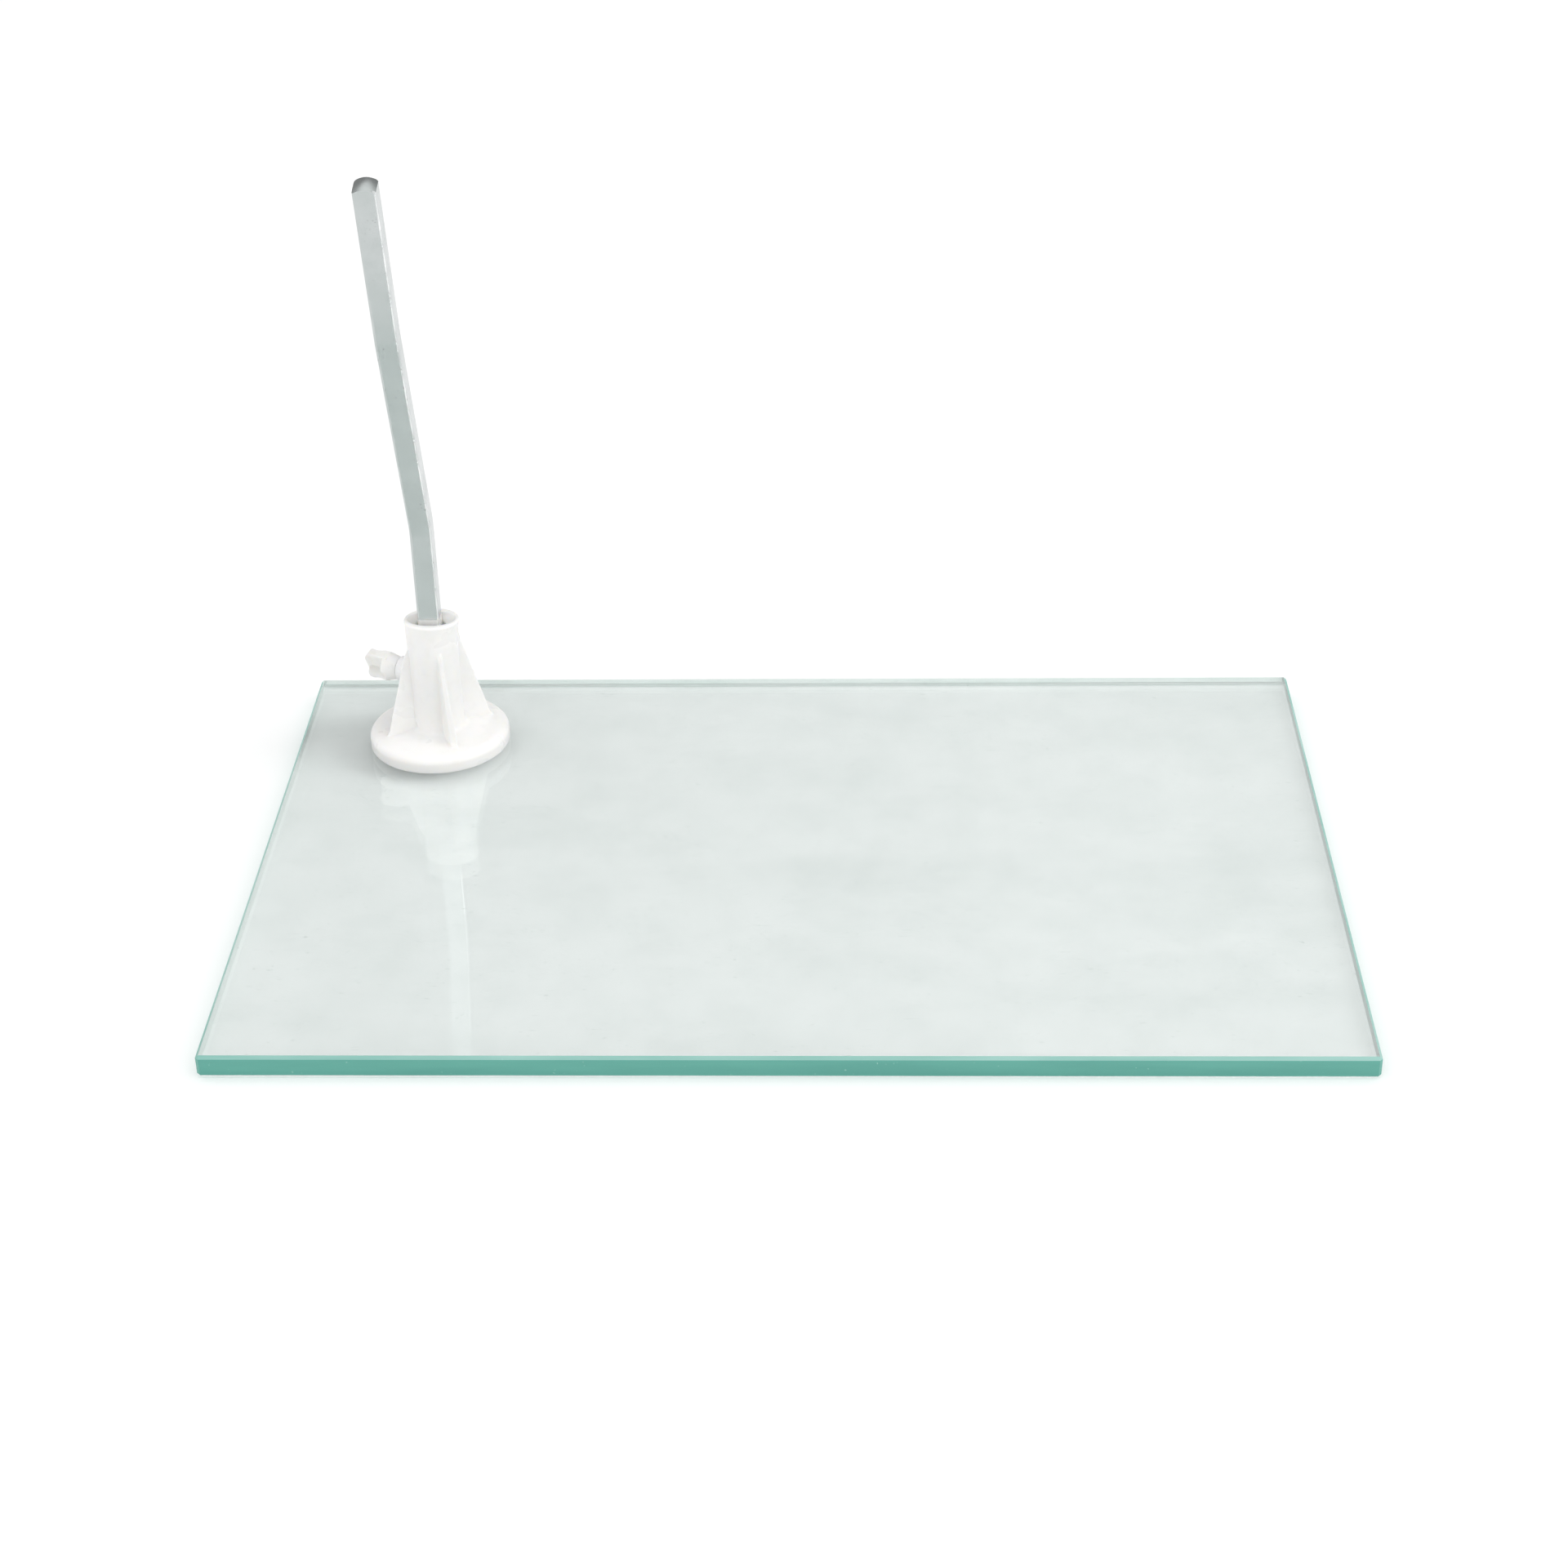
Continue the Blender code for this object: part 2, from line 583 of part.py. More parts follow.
def build_head(clamp_axis):
    """Plastic wing head: a flared hub that flattens into two short wings."""
    flared = HEAD_START + HEAD_HUB_LENGTH
    mesh = cone_mesh("hub", HEAD_START, flared, HEAD_HUB_RADIUS, HEAD_SPAN / 2 - GAP)
    head = add_piece("wing_screw_head", mesh, WHITE_PLASTIC, clamp_axis)
    wings = flat_mesh("wings", head_outline(), HEAD_THICKNESS)
    wings.transform(Matrix.Rotation(math.radians(90.0 + HEAD_TILT), 4, "X"))
    boolean(head, add_cutter("wings", wings, clamp_axis), "UNION")
    cut = cone_mesh("head_bore", HEAD_START - GAP, SHANK_END + GAP, INSERT_BORE, INSERT_BORE)
    boolean(head, add_cutter("head_bore", cut, clamp_axis))


# ---- Assembly --------------------------------------------------------------------------------

SOCKET_AXIS = empty("socket_axis", None, (AXIS_X, AXIS_Y, PLATE_THICKNESS), SOCKET_TURN)
CLAMP_AXIS = empty(
    "clamp_axis", SOCKET_AXIS, (0.0, 0.0, CLAMP_HEIGHT), CLAMP_TURN - SOCKET_TURN
)
BAR_AXIS = empty("bar_axis", SOCKET_AXIS, (0.0, 0.0, BORE_BOTTOM + GAP), -SOCKET_TURN)

build_sleeve(build_plate())
build_socket(SOCKET_AXIS, CLAMP_AXIS)
build_gasket(SOCKET_AXIS)
build_base_fastener(SOCKET_AXIS)
build_bar(BAR_AXIS)
build_insert(CLAMP_AXIS)
build_shank(CLAMP_AXIS)
build_head(CLAMP_AXIS)
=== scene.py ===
import json
import math

import bmesh
import bpy
from mathutils import Matrix, Vector


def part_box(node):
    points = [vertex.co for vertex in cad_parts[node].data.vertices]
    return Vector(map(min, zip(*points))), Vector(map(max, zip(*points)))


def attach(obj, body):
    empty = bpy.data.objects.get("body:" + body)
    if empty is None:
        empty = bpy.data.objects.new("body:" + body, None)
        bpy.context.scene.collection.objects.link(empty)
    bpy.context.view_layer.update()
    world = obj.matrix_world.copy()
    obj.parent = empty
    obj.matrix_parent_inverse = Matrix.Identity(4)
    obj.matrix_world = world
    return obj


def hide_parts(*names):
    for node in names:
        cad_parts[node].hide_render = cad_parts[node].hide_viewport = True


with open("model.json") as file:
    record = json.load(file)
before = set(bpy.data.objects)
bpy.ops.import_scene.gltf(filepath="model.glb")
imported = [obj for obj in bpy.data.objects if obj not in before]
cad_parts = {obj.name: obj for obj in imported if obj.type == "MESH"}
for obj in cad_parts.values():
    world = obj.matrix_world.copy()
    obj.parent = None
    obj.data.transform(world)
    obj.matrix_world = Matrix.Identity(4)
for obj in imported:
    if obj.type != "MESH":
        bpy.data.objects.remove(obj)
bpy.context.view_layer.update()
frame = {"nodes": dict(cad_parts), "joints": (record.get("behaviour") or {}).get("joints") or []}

# ---- Camera, floor and light -------------------------------------------------------------------
# The stand lies on a broad white table that glows a little, as a photographer's lit table does. A
# large softbox hangs to its right, and a pale room with a greyer back wall fills in the shade.

CAMERA_PLACE = (0.02926, -0.85977, 0.5540)
CAMERA_LENS = 65.58
CAMERA_SENSOR = 36.0
CAMERA_TURN = 2.154
CAMERA_DOWN = 58.88
CAMERA_ROLL = -1.232

camera_data = bpy.data.cameras.new("camera")
camera_data.lens = CAMERA_LENS
camera_data.sensor_width = CAMERA_SENSOR
camera = bpy.data.objects.new("camera", camera_data)
turned = Matrix.Rotation(math.radians(CAMERA_TURN), 4, "Z")
tipped = Matrix.Rotation(math.radians(CAMERA_DOWN), 4, "X")
rolled = Matrix.Rotation(math.radians(CAMERA_ROLL), 4, "Z")
camera.matrix_world = Matrix.Translation(CAMERA_PLACE) @ turned @ tipped @ rolled
bpy.context.scene.collection.objects.link(camera)
bpy.context.scene.camera = camera
bpy.context.scene.view_settings.view_transform = "Standard"


def new_material(name):
    """A material whose node tree starts empty."""
    made = bpy.data.materials.new(name)
    made.use_nodes = True
    made.node_tree.nodes.clear()
    return made, made.node_tree


def add_node(tree, kind, **settings):
    """A shader node with its settings, and the inputs named in values."""
    made = tree.nodes.new(kind)
    for label, value in settings.pop("values", {}).items():
        made.inputs[label].default_value = value
    for label, value in settings.items():
        setattr(made, label, value)
    return made


def noise(tree, where, scale, detail=3.0, roughness=0.5):
    """Noise at a place given by another node."""
    made = add_node(
        tree,
        "ShaderNodeTexNoise",
        values={"Scale": scale, "Detail": detail, "Roughness": roughness},
    )
    tree.links.new(where, made.inputs["Vector"])
    return made.outputs["Fac"]


def spread(tree, source, low, high, to_low=0.0, to_high=1.0):
    """Maps a value from one range to another, and stops at the ends."""
    made = add_node(
        tree,
        "ShaderNodeMapRange",
        values={"From Min": low, "From Max": high, "To Min": to_low, "To Max": to_high},
    )
    tree.links.new(source, made.inputs["Value"])
    return made.outputs["Result"]


def combine(tree, how, first, second):
    """Two values joined by one step of arithmetic."""
    made = add_node(tree, "ShaderNodeMath", operation=how)
    for slot, value in enumerate((first, second)):
        if isinstance(value, float):
            made.inputs[slot].default_value = value
        else:
            tree.links.new(value, made.inputs[slot])
    return made.outputs["Value"]


def blend_colours(tree, share, first, second):
    """A colour between two, by a share that varies over the surface."""
    made = add_node(tree, "ShaderNodeMix", data_type="RGBA")
    tree.links.new(share, made.inputs["Factor"])
    for socket, value in ((made.inputs[6], first), (made.inputs[7], second)):
        if isinstance(value, tuple):
            socket.default_value = (*value, 1.0)
        else:
            tree.links.new(value, socket)
    return made.outputs[2]


def raised(tree, height, depth, strength=1.0):
    """A normal that follows a small height over the surface."""
    made = add_node(
        tree, "ShaderNodeBump", values={"Strength": strength, "Distance": depth}
    )
    tree.links.new(height, made.inputs["Height"])
    return made.outputs["Normal"]


def finish_with(tree, shader):
    """Joins the last shader to the material's output."""
    output = add_node(tree, "ShaderNodeOutputMaterial")
    tree.links.new(shader, output.inputs["Surface"])


def object_from(name, bm, smooth_below=None):
    """A finished bmesh as an object at the origin, smooth below the given angle in degrees."""
    mesh = bpy.data.meshes.new(name)
    bm.to_mesh(mesh)
    bm.free()
    made = bpy.data.objects.new(name, mesh)
    bpy.context.scene.collection.objects.link(made)
    if smooth_below is not None:
        mesh.shade_smooth()
        mesh.set_sharp_from_angle(angle=math.radians(smooth_below))
    return made


FLOOR_HALF = 3.0
FLOOR_DROP = 0.0004
FLOOR_WHITE = (0.86, 0.86, 0.86)
FLOOR_SHADE = (0.85, 0.85, 0.85)
FLOOR_GLOW = 0.13
FLOOR_CLOUD_SCALE = 3.0
FLOOR_ROUGHNESS = 0.8
FLOOR_SPECULAR = 0.1

bm = bmesh.new()
bmesh.ops.create_grid(bm, x_segments=1, y_segments=1, size=FLOOR_HALF)
bmesh.ops.translate(bm, verts=bm.verts, vec=(0.0, 0.0, -FLOOR_DROP))
floor = object_from("floor", bm)
paint, tree = new_material("table_white")
place = add_node(tree, "ShaderNodeTexCoord").outputs["Object"]
shader = add_node(tree, "ShaderNodeBsdfPrincipled", values={"Roughness": FLOOR_ROUGHNESS})
shader.inputs["Specular IOR Level"].default_value = FLOOR_SPECULAR
shader.inputs["Emission Color"].default_value = (1.0, 1.0, 1.0, 1.0)
shader.inputs["Emission Strength"].default_value = FLOOR_GLOW
grey = blend_colours(tree, noise(tree, place, FLOOR_CLOUD_SCALE), FLOOR_WHITE, FLOOR_SHADE)
tree.links.new(grey, shader.inputs["Base Color"])
finish_with(tree, shader.outputs["BSDF"])
floor.data.materials.append(paint)

ROOM_LIGHT = 0.93
CEILING_LIGHT = 1.15
BACK_WALL_LIGHT = 0.30
FRONT_WALL_LIGHT = 1.15
CEILING_SPAN = (0.55, 0.95)
BACK_WALL_SPAN = (0.35, 0.75)
BACK_WALL_TOP = (0.80, 0.62)
FRONT_WALL_SPAN = (-0.1, -0.8)
KEY_PLACE = (1.90, -0.25, 1.60)
KEY_AIM = (-0.05, 0.0, 0.05)
KEY_SIZE = 1.10
KEY_POWER = 13.0
world = bpy.data.worlds.new("pale_room")
world.use_nodes = True
tree = world.node_tree
way = add_node(tree, "ShaderNodeSeparateXYZ")
tree.links.new(add_node(tree, "ShaderNodeTexCoord").outputs["Generated"], way.inputs["Vector"])
upwards = spread(tree, way.outputs["Z"], *CEILING_SPAN, ROOM_LIGHT, CEILING_LIGHT)
behind = spread(tree, way.outputs["Y"], *BACK_WALL_SPAN)
lowered = spread(tree, way.outputs["Z"], *BACK_WALL_TOP)
greyer = combine(tree, "MULTIPLY", behind, lowered)
greyer = spread(tree, greyer, 0.0, 1.0, 1.0, BACK_WALL_LIGHT / ROOM_LIGHT)
front_gain = FRONT_WALL_LIGHT / ROOM_LIGHT
nearer = spread(tree, way.outputs["Y"], *FRONT_WALL_SPAN, 1.0, front_gain)
walls = combine(tree, "MULTIPLY", greyer, nearer)
room = tree.nodes["Background"]
room.inputs["Color"].default_value = (1.0, 1.0, 1.0, 1.0)
tree.links.new(combine(tree, "MULTIPLY", upwards, walls), room.inputs["Strength"])
bpy.context.scene.world = world


def softbox(name, place, target, size, power):
    """A square studio light that faces a point."""
    lamp = bpy.data.lights.new(name, "AREA")
    lamp.shape = "SQUARE"
    lamp.size = size
    lamp.energy = power
    made = bpy.data.objects.new(name, lamp)
    aim = Vector(target) - Vector(place)
    made.location = place
    made.rotation_euler = aim.to_track_quat("-Z", "Y").to_euler()
    bpy.context.scene.collection.objects.link(made)


softbox("key_softbox", KEY_PLACE, KEY_AIM, KEY_SIZE, KEY_POWER)

# ---- Glass plate -------------------------------------------------------------------------------
# Clear float glass with a polished face all round and a small ground arris on each edge. A
# countersunk hole below the socket takes the base screw. The edges show the glass's green most.

PLATE_ARRIS = 0.0010
PLATE_HOLE = 0.0055
PLATE_HOLE_STEPS = 64
SINK_RADIUS = 0.0091
CUT_PAST = 0.001
LEVEL = 0.99
UPRIGHT = 0.01
GLASS_IOR = 1.52
WIPE_STRETCH = (1.0, 3.2, 1.0)
SMUDGE_SCALE = 9.0
FILM_SCALE = 55.0
SPECK_SCALE = 420.0
RIPPLE_SCALE = 14.0
RIPPLE_DEEP = 0.00002
SMUDGE_ROUGHNESS = 0.10
EDGE_STRETCH = (1.0, 1.0, 9.0)
EDGE_CLOUD_SCALE = 22.0
CHIP_SCALE = 700.0
GRIND_SCALE = 420.0
GRIND_DEEP = 0.00003
GRIND_STRENGTH = 0.5
# How far the painted shade darkens an edge at its bottom.
EDGE_PAINTED_SHADE_BELOW = 0.55
EDGE_CLOUD_SHADE = 0.45
EDGE_ROUGHER = 0.12
WITHIN_ROUGHNESS = 0.06
GLASS_TINT = (0.935, 0.966, 0.956)
GLASS_SMUDGE_TINT = (0.855, 0.895, 0.882)
GLASS_LAMP_TINT = (0.965, 0.978, 0.975)
GLASS_SPECK = (0.70, 0.76, 0.73)
EDGE_TEAL = (0.105, 0.370, 0.305)
EDGE_TEAL_DEEP = (0.075, 0.300, 0.250)
ARRIS_TEAL = (0.30, 0.53, 0.48)
CHIP_TEAL = (0.35, 0.60, 0.54)
EDGE_WITHIN = (0.94, 0.97, 0.96)
EDGE_WITHIN_DEEP = (0.88, 0.94, 0.92)

plate_low, plate_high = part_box("glass_plate")
swivel = next(joint for joint in frame["joints"] if joint["name"] == "socket_swivel")
socket_x, socket_y, glass_top = swivel["pos_m"]


def spun(profile, steps):
    """A shape turned about the upright axis from (radius, height) points."""
    made = bmesh.new()
    points = [made.verts.new((x, 0.0, z)) for x, z in profile]
    edges = [made.edges.new(pair) for pair in zip(points, points[1:])]
    bmesh.ops.spin(
        made,
        geom=points + edges,
        cent=(0.0, 0.0, 0.0),
        axis=(0.0, 0.0, 1.0),
        angle=math.tau,
        steps=steps,
        use_merge=True,
    )
    bmesh.ops.remove_doubles(made, verts=made.verts, dist=0.000001)
    bmesh.ops.recalc_face_normals(made, faces=made.faces)
    return made


def carve(piece, tool, operation="DIFFERENCE"):
    """Cuts the tool out of a piece or joins it on, and removes the tool."""
    step = piece.modifiers.new("carve", "BOOLEAN")
    step.operation = operation
    step.solver = "EXACT"
    step.object = tool
    settle(piece)
    bpy.data.objects.remove(tool)


def settle(piece):
    """Applies a piece's modifiers to its mesh."""
    graph = bpy.context.evaluated_depsgraph_get()
    mesh = bpy.data.meshes.new_from_object(piece.evaluated_get(graph))
    piece.modifiers.clear()
    piece.data = mesh


bm = bmesh.new()
bmesh.ops.create_cube(bm, size=1.0)
bmesh.ops.scale(bm, verts=bm.verts, vec=plate_high - plate_low)
bmesh.ops.translate(bm, verts=bm.verts, vec=(plate_low + plate_high) / 2)
bmesh.ops.bevel(
    bm,
    geom=bm.edges[:],
    offset=PLATE_ARRIS,
    segments=1,
    profile=0.5,
    affect="EDGES",
    material=-1,
)
plate = object_from("plate", bm)
above_plate = glass_top * 1.5
countersink = [
    (0.0, above_plate),
    (PLATE_HOLE, above_plate),
    (PLATE_HOLE, SINK_RADIUS - PLATE_HOLE),
    (SINK_RADIUS + CUT_PAST, -CUT_PAST),
    (0.0, -CUT_PAST),
]
bm = spun(countersink, PLATE_HOLE_STEPS)
bmesh.ops.translate(bm, verts=bm.verts, vec=(socket_x, socket_y, 0.0))
carve(plate, object_from("plate_hole", bm))

bm = bmesh.new()
bm.from_mesh(plate.data)
FACE, POLISHED_EDGE, ARRIS = range(3)
for face in bm.faces:
    middle = face.calc_center_median()
    near_hole = math.hypot(middle.x - socket_x, middle.y - socket_y) < 2 * SINK_RADIUS
    if abs(face.normal.z) > LEVEL:
        face.material_index = FACE
    elif abs(face.normal.z) < UPRIGHT and not near_hole:
        face.material_index = POLISHED_EDGE
    else:
        face.material_index = ARRIS
bm.to_mesh(plate.data)
bm.free()


def finish_as_glass(tree, shader):
    """Joins a shader to the output, and lets a lamp's light straight through to what is below."""
    through = add_node(tree, "ShaderNodeBsdfTransparent")
    through.inputs["Color"].default_value = (*GLASS_LAMP_TINT, 1.0)
    lamp_ray = add_node(tree, "ShaderNodeLightPath").outputs["Is Shadow Ray"]
    either = add_node(tree, "ShaderNodeMixShader")
    tree.links.new(lamp_ray, either.inputs["Fac"])
    tree.links.new(shader, either.inputs[1])
    tree.links.new(through.outputs["BSDF"], either.inputs[2])
    finish_with(tree, either.outputs["Shader"])


clear, tree = new_material("float_glass")
place = add_node(tree, "ShaderNodeTexCoord").outputs["Object"]
shader = add_node(
    tree,
    "ShaderNodeBsdfPrincipled",
    values={"IOR": GLASS_IOR, "Transmission Weight": 1.0},
)
drawn_out = add_node(tree, "ShaderNodeMapping", values={"Scale": WIPE_STRETCH})
tree.links.new(place, drawn_out.inputs["Vector"])
wiped = drawn_out.outputs["Vector"]
smudges = spread(tree, noise(tree, wiped, SMUDGE_SCALE, 6.0, 0.62), 0.47, 0.68)
film = spread(tree, noise(tree, place, FILM_SCALE, 4.0, 0.6), 0.42, 0.72)
marks = combine(tree, "MULTIPLY", combine(tree, "ADD", smudges, film), 0.5)
specks = spread(tree, noise(tree, wiped, SPECK_SCALE, 2.0), 0.69, 0.75)
tint = blend_colours(tree, marks, GLASS_TINT, GLASS_SMUDGE_TINT)
tint = blend_colours(tree, specks, tint, GLASS_SPECK)
tree.links.new(tint, shader.inputs["Base Color"])
tree.links.new(spread(tree, marks, 0.0, 1.0, 0.0, SMUDGE_ROUGHNESS), shader.inputs["Roughness"])
ripple = noise(tree, place, RIPPLE_SCALE, 2.0)
tree.links.new(raised(tree, ripple, RIPPLE_DEEP), shader.inputs["Normal"])
finish_as_glass(tree, shader.outputs["BSDF"])


def edge_glass(name, light, deep, roughness, mirror):
    """Glass seen edge on: green from outside. From within, a mirror or a pale ground face."""
    made, tree = new_material(name)
    place = add_node(tree, "ShaderNodeTexCoord").outputs["Object"]
    along = add_node(tree, "ShaderNodeMapping", values={"Scale": EDGE_STRETCH})
    tree.links.new(place, along.inputs["Vector"])
    cloud = noise(tree, along.outputs["Vector"], EDGE_CLOUD_SCALE, 4.0)
    cloud = spread(tree, cloud, 0.35, 0.65)
    height = add_node(tree, "ShaderNodeSeparateXYZ")
    tree.links.new(place, height.inputs["Vector"])
    # Painted shade: each edge is painted deeper teal towards its bottom, mixed with random
    # clouding.
    painted_shade_below = spread(tree, height.outputs["Z"], 0.0, glass_top, EDGE_PAINTED_SHADE_BELOW, 0.0)
    clouded = combine(tree, "MULTIPLY", cloud, EDGE_CLOUD_SHADE)
    shade = combine(tree, "ADD", painted_shade_below, clouded)
    green = blend_colours(tree, shade, light, deep)
    chips = spread(tree, noise(tree, place, CHIP_SCALE, 2.0), 0.73, 0.82)
    green = blend_colours(tree, chips, green, CHIP_TEAL)
    outside = add_node(tree, "ShaderNodeBsdfPrincipled", values={"IOR": GLASS_IOR})
    tree.links.new(green, outside.inputs["Base Color"])
    scuffs = spread(tree, cloud, 0.0, 1.0, roughness, roughness + EDGE_ROUGHER)
    tree.links.new(scuffs, outside.inputs["Roughness"])
    grind = noise(tree, place, GRIND_SCALE, 3.0)
    tree.links.new(raised(tree, grind, GRIND_DEEP, GRIND_STRENGTH), outside.inputs["Normal"])
    within = add_node(
        tree,
        "ShaderNodeBsdfPrincipled",
        values={"Metallic": mirror, "Roughness": WITHIN_ROUGHNESS},
    )
    pale = blend_colours(tree, cloud, EDGE_WITHIN, EDGE_WITHIN_DEEP)
    tree.links.new(pale, within.inputs["Base Color"])
    backface = add_node(tree, "ShaderNodeNewGeometry").outputs["Backfacing"]
    side = add_node(tree, "ShaderNodeMixShader")
    tree.links.new(backface, side.inputs["Fac"])
    tree.links.new(outside.outputs["BSDF"], side.inputs[1])
    tree.links.new(within.outputs["BSDF"], side.inputs[2])
    finish_as_glass(tree, side.outputs["Shader"])
    return made


plate.data.materials.append(clear)
plate.data.materials.append(edge_glass("polished_edge", EDGE_TEAL, EDGE_TEAL_DEEP, 0.10, 1.0))
plate.data.materials.append(edge_glass("ground_arris", ARRIS_TEAL, EDGE_TEAL, 0.35, 0.0))
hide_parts("glass_plate")
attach(plate, "plate")

# ---- Socket ------------------------------------------------------------------------------------
# One white ABS moulding: a crowned round foot, a neck that opens into a thin oval mouth for the
# bar, four tapering ribs, and a boss for the clamp screw. Screwed through the glass from below.

FOOT_RADIUS = 0.0264
FOOT_SIDE = 0.0036
FOOT_TOP = 0.0066
FOOT_ROLL = 0.0044
FOOT_RISE = 0.0072
NECK_RADIUS = 0.0095
NECK_FILLET = 0.0022
RIM_RADIUS = 0.0104
RIM_LIP = 0.0008
RIM_CURVE = 2.2
SOCKET_HIGH = 0.0521
PINCH = 0.82
MOUTH_SHIFT = 0.0006
PINCH_LENGTH = 0.016
BORE_RADIUS = 0.0056
BORE_FLOOR = 0.0094
FUNNEL_DEEP = 0.0030
FUNNEL_RADIUS = 0.0091
FUNNEL_OVAL = 0.64
FUNNEL_CURVE = 1.2
FUNNEL_SPARE = 0.0006
FUNNEL_ABOVE = 0.004
FUNNEL_STEPS = 14
NECK_FLARE = 0.012
NECK_STEPS = 10
ROLL_STEPS = 12
FOOT_UNDERSIDE = 0.0003
FOOT_BREAK = 0.0002
SMOOTH_FROM = 0.0012
RIB_TURN = 24.0
RIB_COUNT = 4
RIB_FOOT_THICK = 0.0027
RIB_TOP_THICK = 0.0013
RIB_CREST_LEAN = 0.0014
RIB_INNER_END = 0.0065
RIB_SIDE = (
    (0.0060, 0.0030),
    (0.0222, 0.0030),
    (0.0221, 0.0058),
    (0.0208, 0.0070),
    (0.0199, 0.0084),
    (0.0192, 0.0113),
    (0.0180, 0.0157),
    (0.0157, 0.0236),
    (0.0134, 0.0322),
    (0.0119, 0.0376),
    (0.0109, 0.0398),
    (0.0100, 0.0412),
    (0.0060, 0.0418),
)
RIB_SIDE_TALL = RIB_SIDE[:-3] + (
    (0.0110, 0.0405),
    (0.0106, 0.0430),
    (0.0104, 0.0470),
    (0.0102, 0.0500),
    (0.0060, 0.0512),
)
CLAMP_TURN = RIB_TURN + 135.0
CLAMP_HIGH = 0.0280
BOSS_FACE = 0.01458
BOSS_RADIUS = 0.0048
BOSS_ROOT_RADIUS = 0.0061
SEAT_RADIUS = 0.0038
SEAT_DEEP = 0.0066
SHANK_HOLE = 0.0028
NUT_POCKET = 0.0106
NUT_POCKET_TOP = 0.0070
GASKET_RECESS = 0.0203
GASKET_RECESS_TOP = 0.0014
MOULD_GRAIN = 0.00030
SOCKET_EASE = 4
ROUND_STEPS = 160


def corner(centre_x, centre_z, radius, first, last, steps=6):
    """Points round an arc of a profile, angles in degrees from +X."""
    turns = [math.radians(first + (last - first) * i / steps) for i in range(steps + 1)]
    return [(centre_x + radius * math.cos(t), centre_z + radius * math.sin(t)) for t in turns]


def socket_matrix(turn, along_z=0.0):
    """From a piece's own frame, X outwards, to its place about the socket's axis."""
    place = Matrix.Translation((socket_x, socket_y, glass_top + along_z))
    return place @ Matrix.Rotation(math.radians(turn), 4, "Z")


def cylinder(start, end, radius_start, radius_end, steps=64, along="X"):
    """A cylinder or cone along the local X or Z axis."""
    made = bmesh.new()
    bmesh.ops.create_cone(
        made,
        cap_ends=True,
        segments=steps,
        radius1=radius_start,
        radius2=radius_end,
        depth=end - start,
    )
    bmesh.ops.translate(made, verts=made.verts, vec=(0.0, 0.0, (start + end) / 2))
    if along == "X":
        bmesh.ops.rotate(made, verts=made.verts, matrix=Matrix.Rotation(math.pi / 2, 3, "Y"))
    return made


def placed(name, bm, matrix):
    """A bmesh moved to its place and made an object."""
    bmesh.ops.transform(bm, matrix=matrix, verts=bm.verts)
    return object_from(name, bm)


def soften(piece, grain, rounds, above=0.0):
    """Remakes a piece as one even skin, and rounds what is above a height as a mould does."""
    skin = piece.modifiers.new("skin", "REMESH")
    skin.mode = "VOXEL"
    skin.voxel_size = grain
    settle(piece)
    free = piece.vertex_groups.new(name="free")
    free.add([v.index for v in piece.data.vertices if v.co.z > above], 1.0, "REPLACE")
    ease = piece.modifiers.new("ease", "SMOOTH")
    ease.factor = 0.5
    ease.iterations = rounds
    ease.vertex_group = free.name
    settle(piece)
    piece.vertex_groups.clear()
    piece.data.shade_smooth()


profile = [
    (0.0, SOCKET_HIGH),
    *corner(RIM_RADIUS - RIM_LIP, SOCKET_HIGH - RIM_LIP, RIM_LIP, 90.0, 0.0),
]
for i in range(1, NECK_STEPS + 1):
    share = i / NECK_STEPS
    radius = NECK_RADIUS + (RIM_RADIUS - NECK_RADIUS) * (1.0 - share) ** RIM_CURVE
    profile.append((radius, SOCKET_HIGH - RIM_LIP - NECK_FLARE * share))
profile += corner(NECK_RADIUS + NECK_FILLET, FOOT_RISE + NECK_FILLET, NECK_FILLET, 180.0, 265.0)
for i in range(ROLL_STEPS + 1):
    turn = math.radians(90.0 - 90.0 * i / ROLL_STEPS)
    across = FOOT_RADIUS - FOOT_ROLL + FOOT_ROLL * math.cos(turn)
    profile.append((across, FOOT_SIDE + (FOOT_TOP - FOOT_SIDE) * math.sin(turn)))
profile += [
    (FOOT_RADIUS, FOOT_UNDERSIDE + FOOT_BREAK),
    (FOOT_RADIUS - FOOT_BREAK, FOOT_UNDERSIDE),
    (0.0, FOOT_UNDERSIDE),
]
bm = spun(profile, ROUND_STEPS)
for vert in bm.verts:
    up = max(vert.co.z - SOCKET_HIGH + PINCH_LENGTH, 0.0) / PINCH_LENGTH
    vert.co.y *= 1.0 - (1.0 - PINCH) * up * up * (3.0 - 2.0 * up)
    vert.co.x += MOUTH_SHIFT * up * up
socket = placed("socket", bm, socket_matrix(0.0))
# The first rib, on the right, runs on almost to the rim. The left and the front one slope on top.
for i in range(RIB_COUNT):
    bm = bmesh.new()
    outline = [bm.verts.new((x, -0.5, z)) for x, z in (RIB_SIDE if i else RIB_SIDE_TALL)]
    side = bm.faces.new(outline)
    grown = bmesh.ops.extrude_face_region(bm, geom=[side])["geom"]
    far = [item for item in grown if isinstance(item, bmesh.types.BMVert)]
    bmesh.ops.translate(bm, verts=far, vec=(0.0, 1.0, 0.0))
    for vert in bm.verts:
        if i > 1 and vert.co.y < 0.0 and vert.co.x > RIB_INNER_END:
            vert.co.x -= RIB_CREST_LEAN
        taper = min(vert.co.z / RIB_SIDE[-1][1], 1.0)
        vert.co.y *= RIB_FOOT_THICK + (RIB_TOP_THICK - RIB_FOOT_THICK) * taper
    bmesh.ops.recalc_face_normals(bm, faces=bm.faces)
    rib = placed("rib", bm, socket_matrix(RIB_TURN + 360.0 / RIB_COUNT * i))
    carve(socket, rib, "UNION")
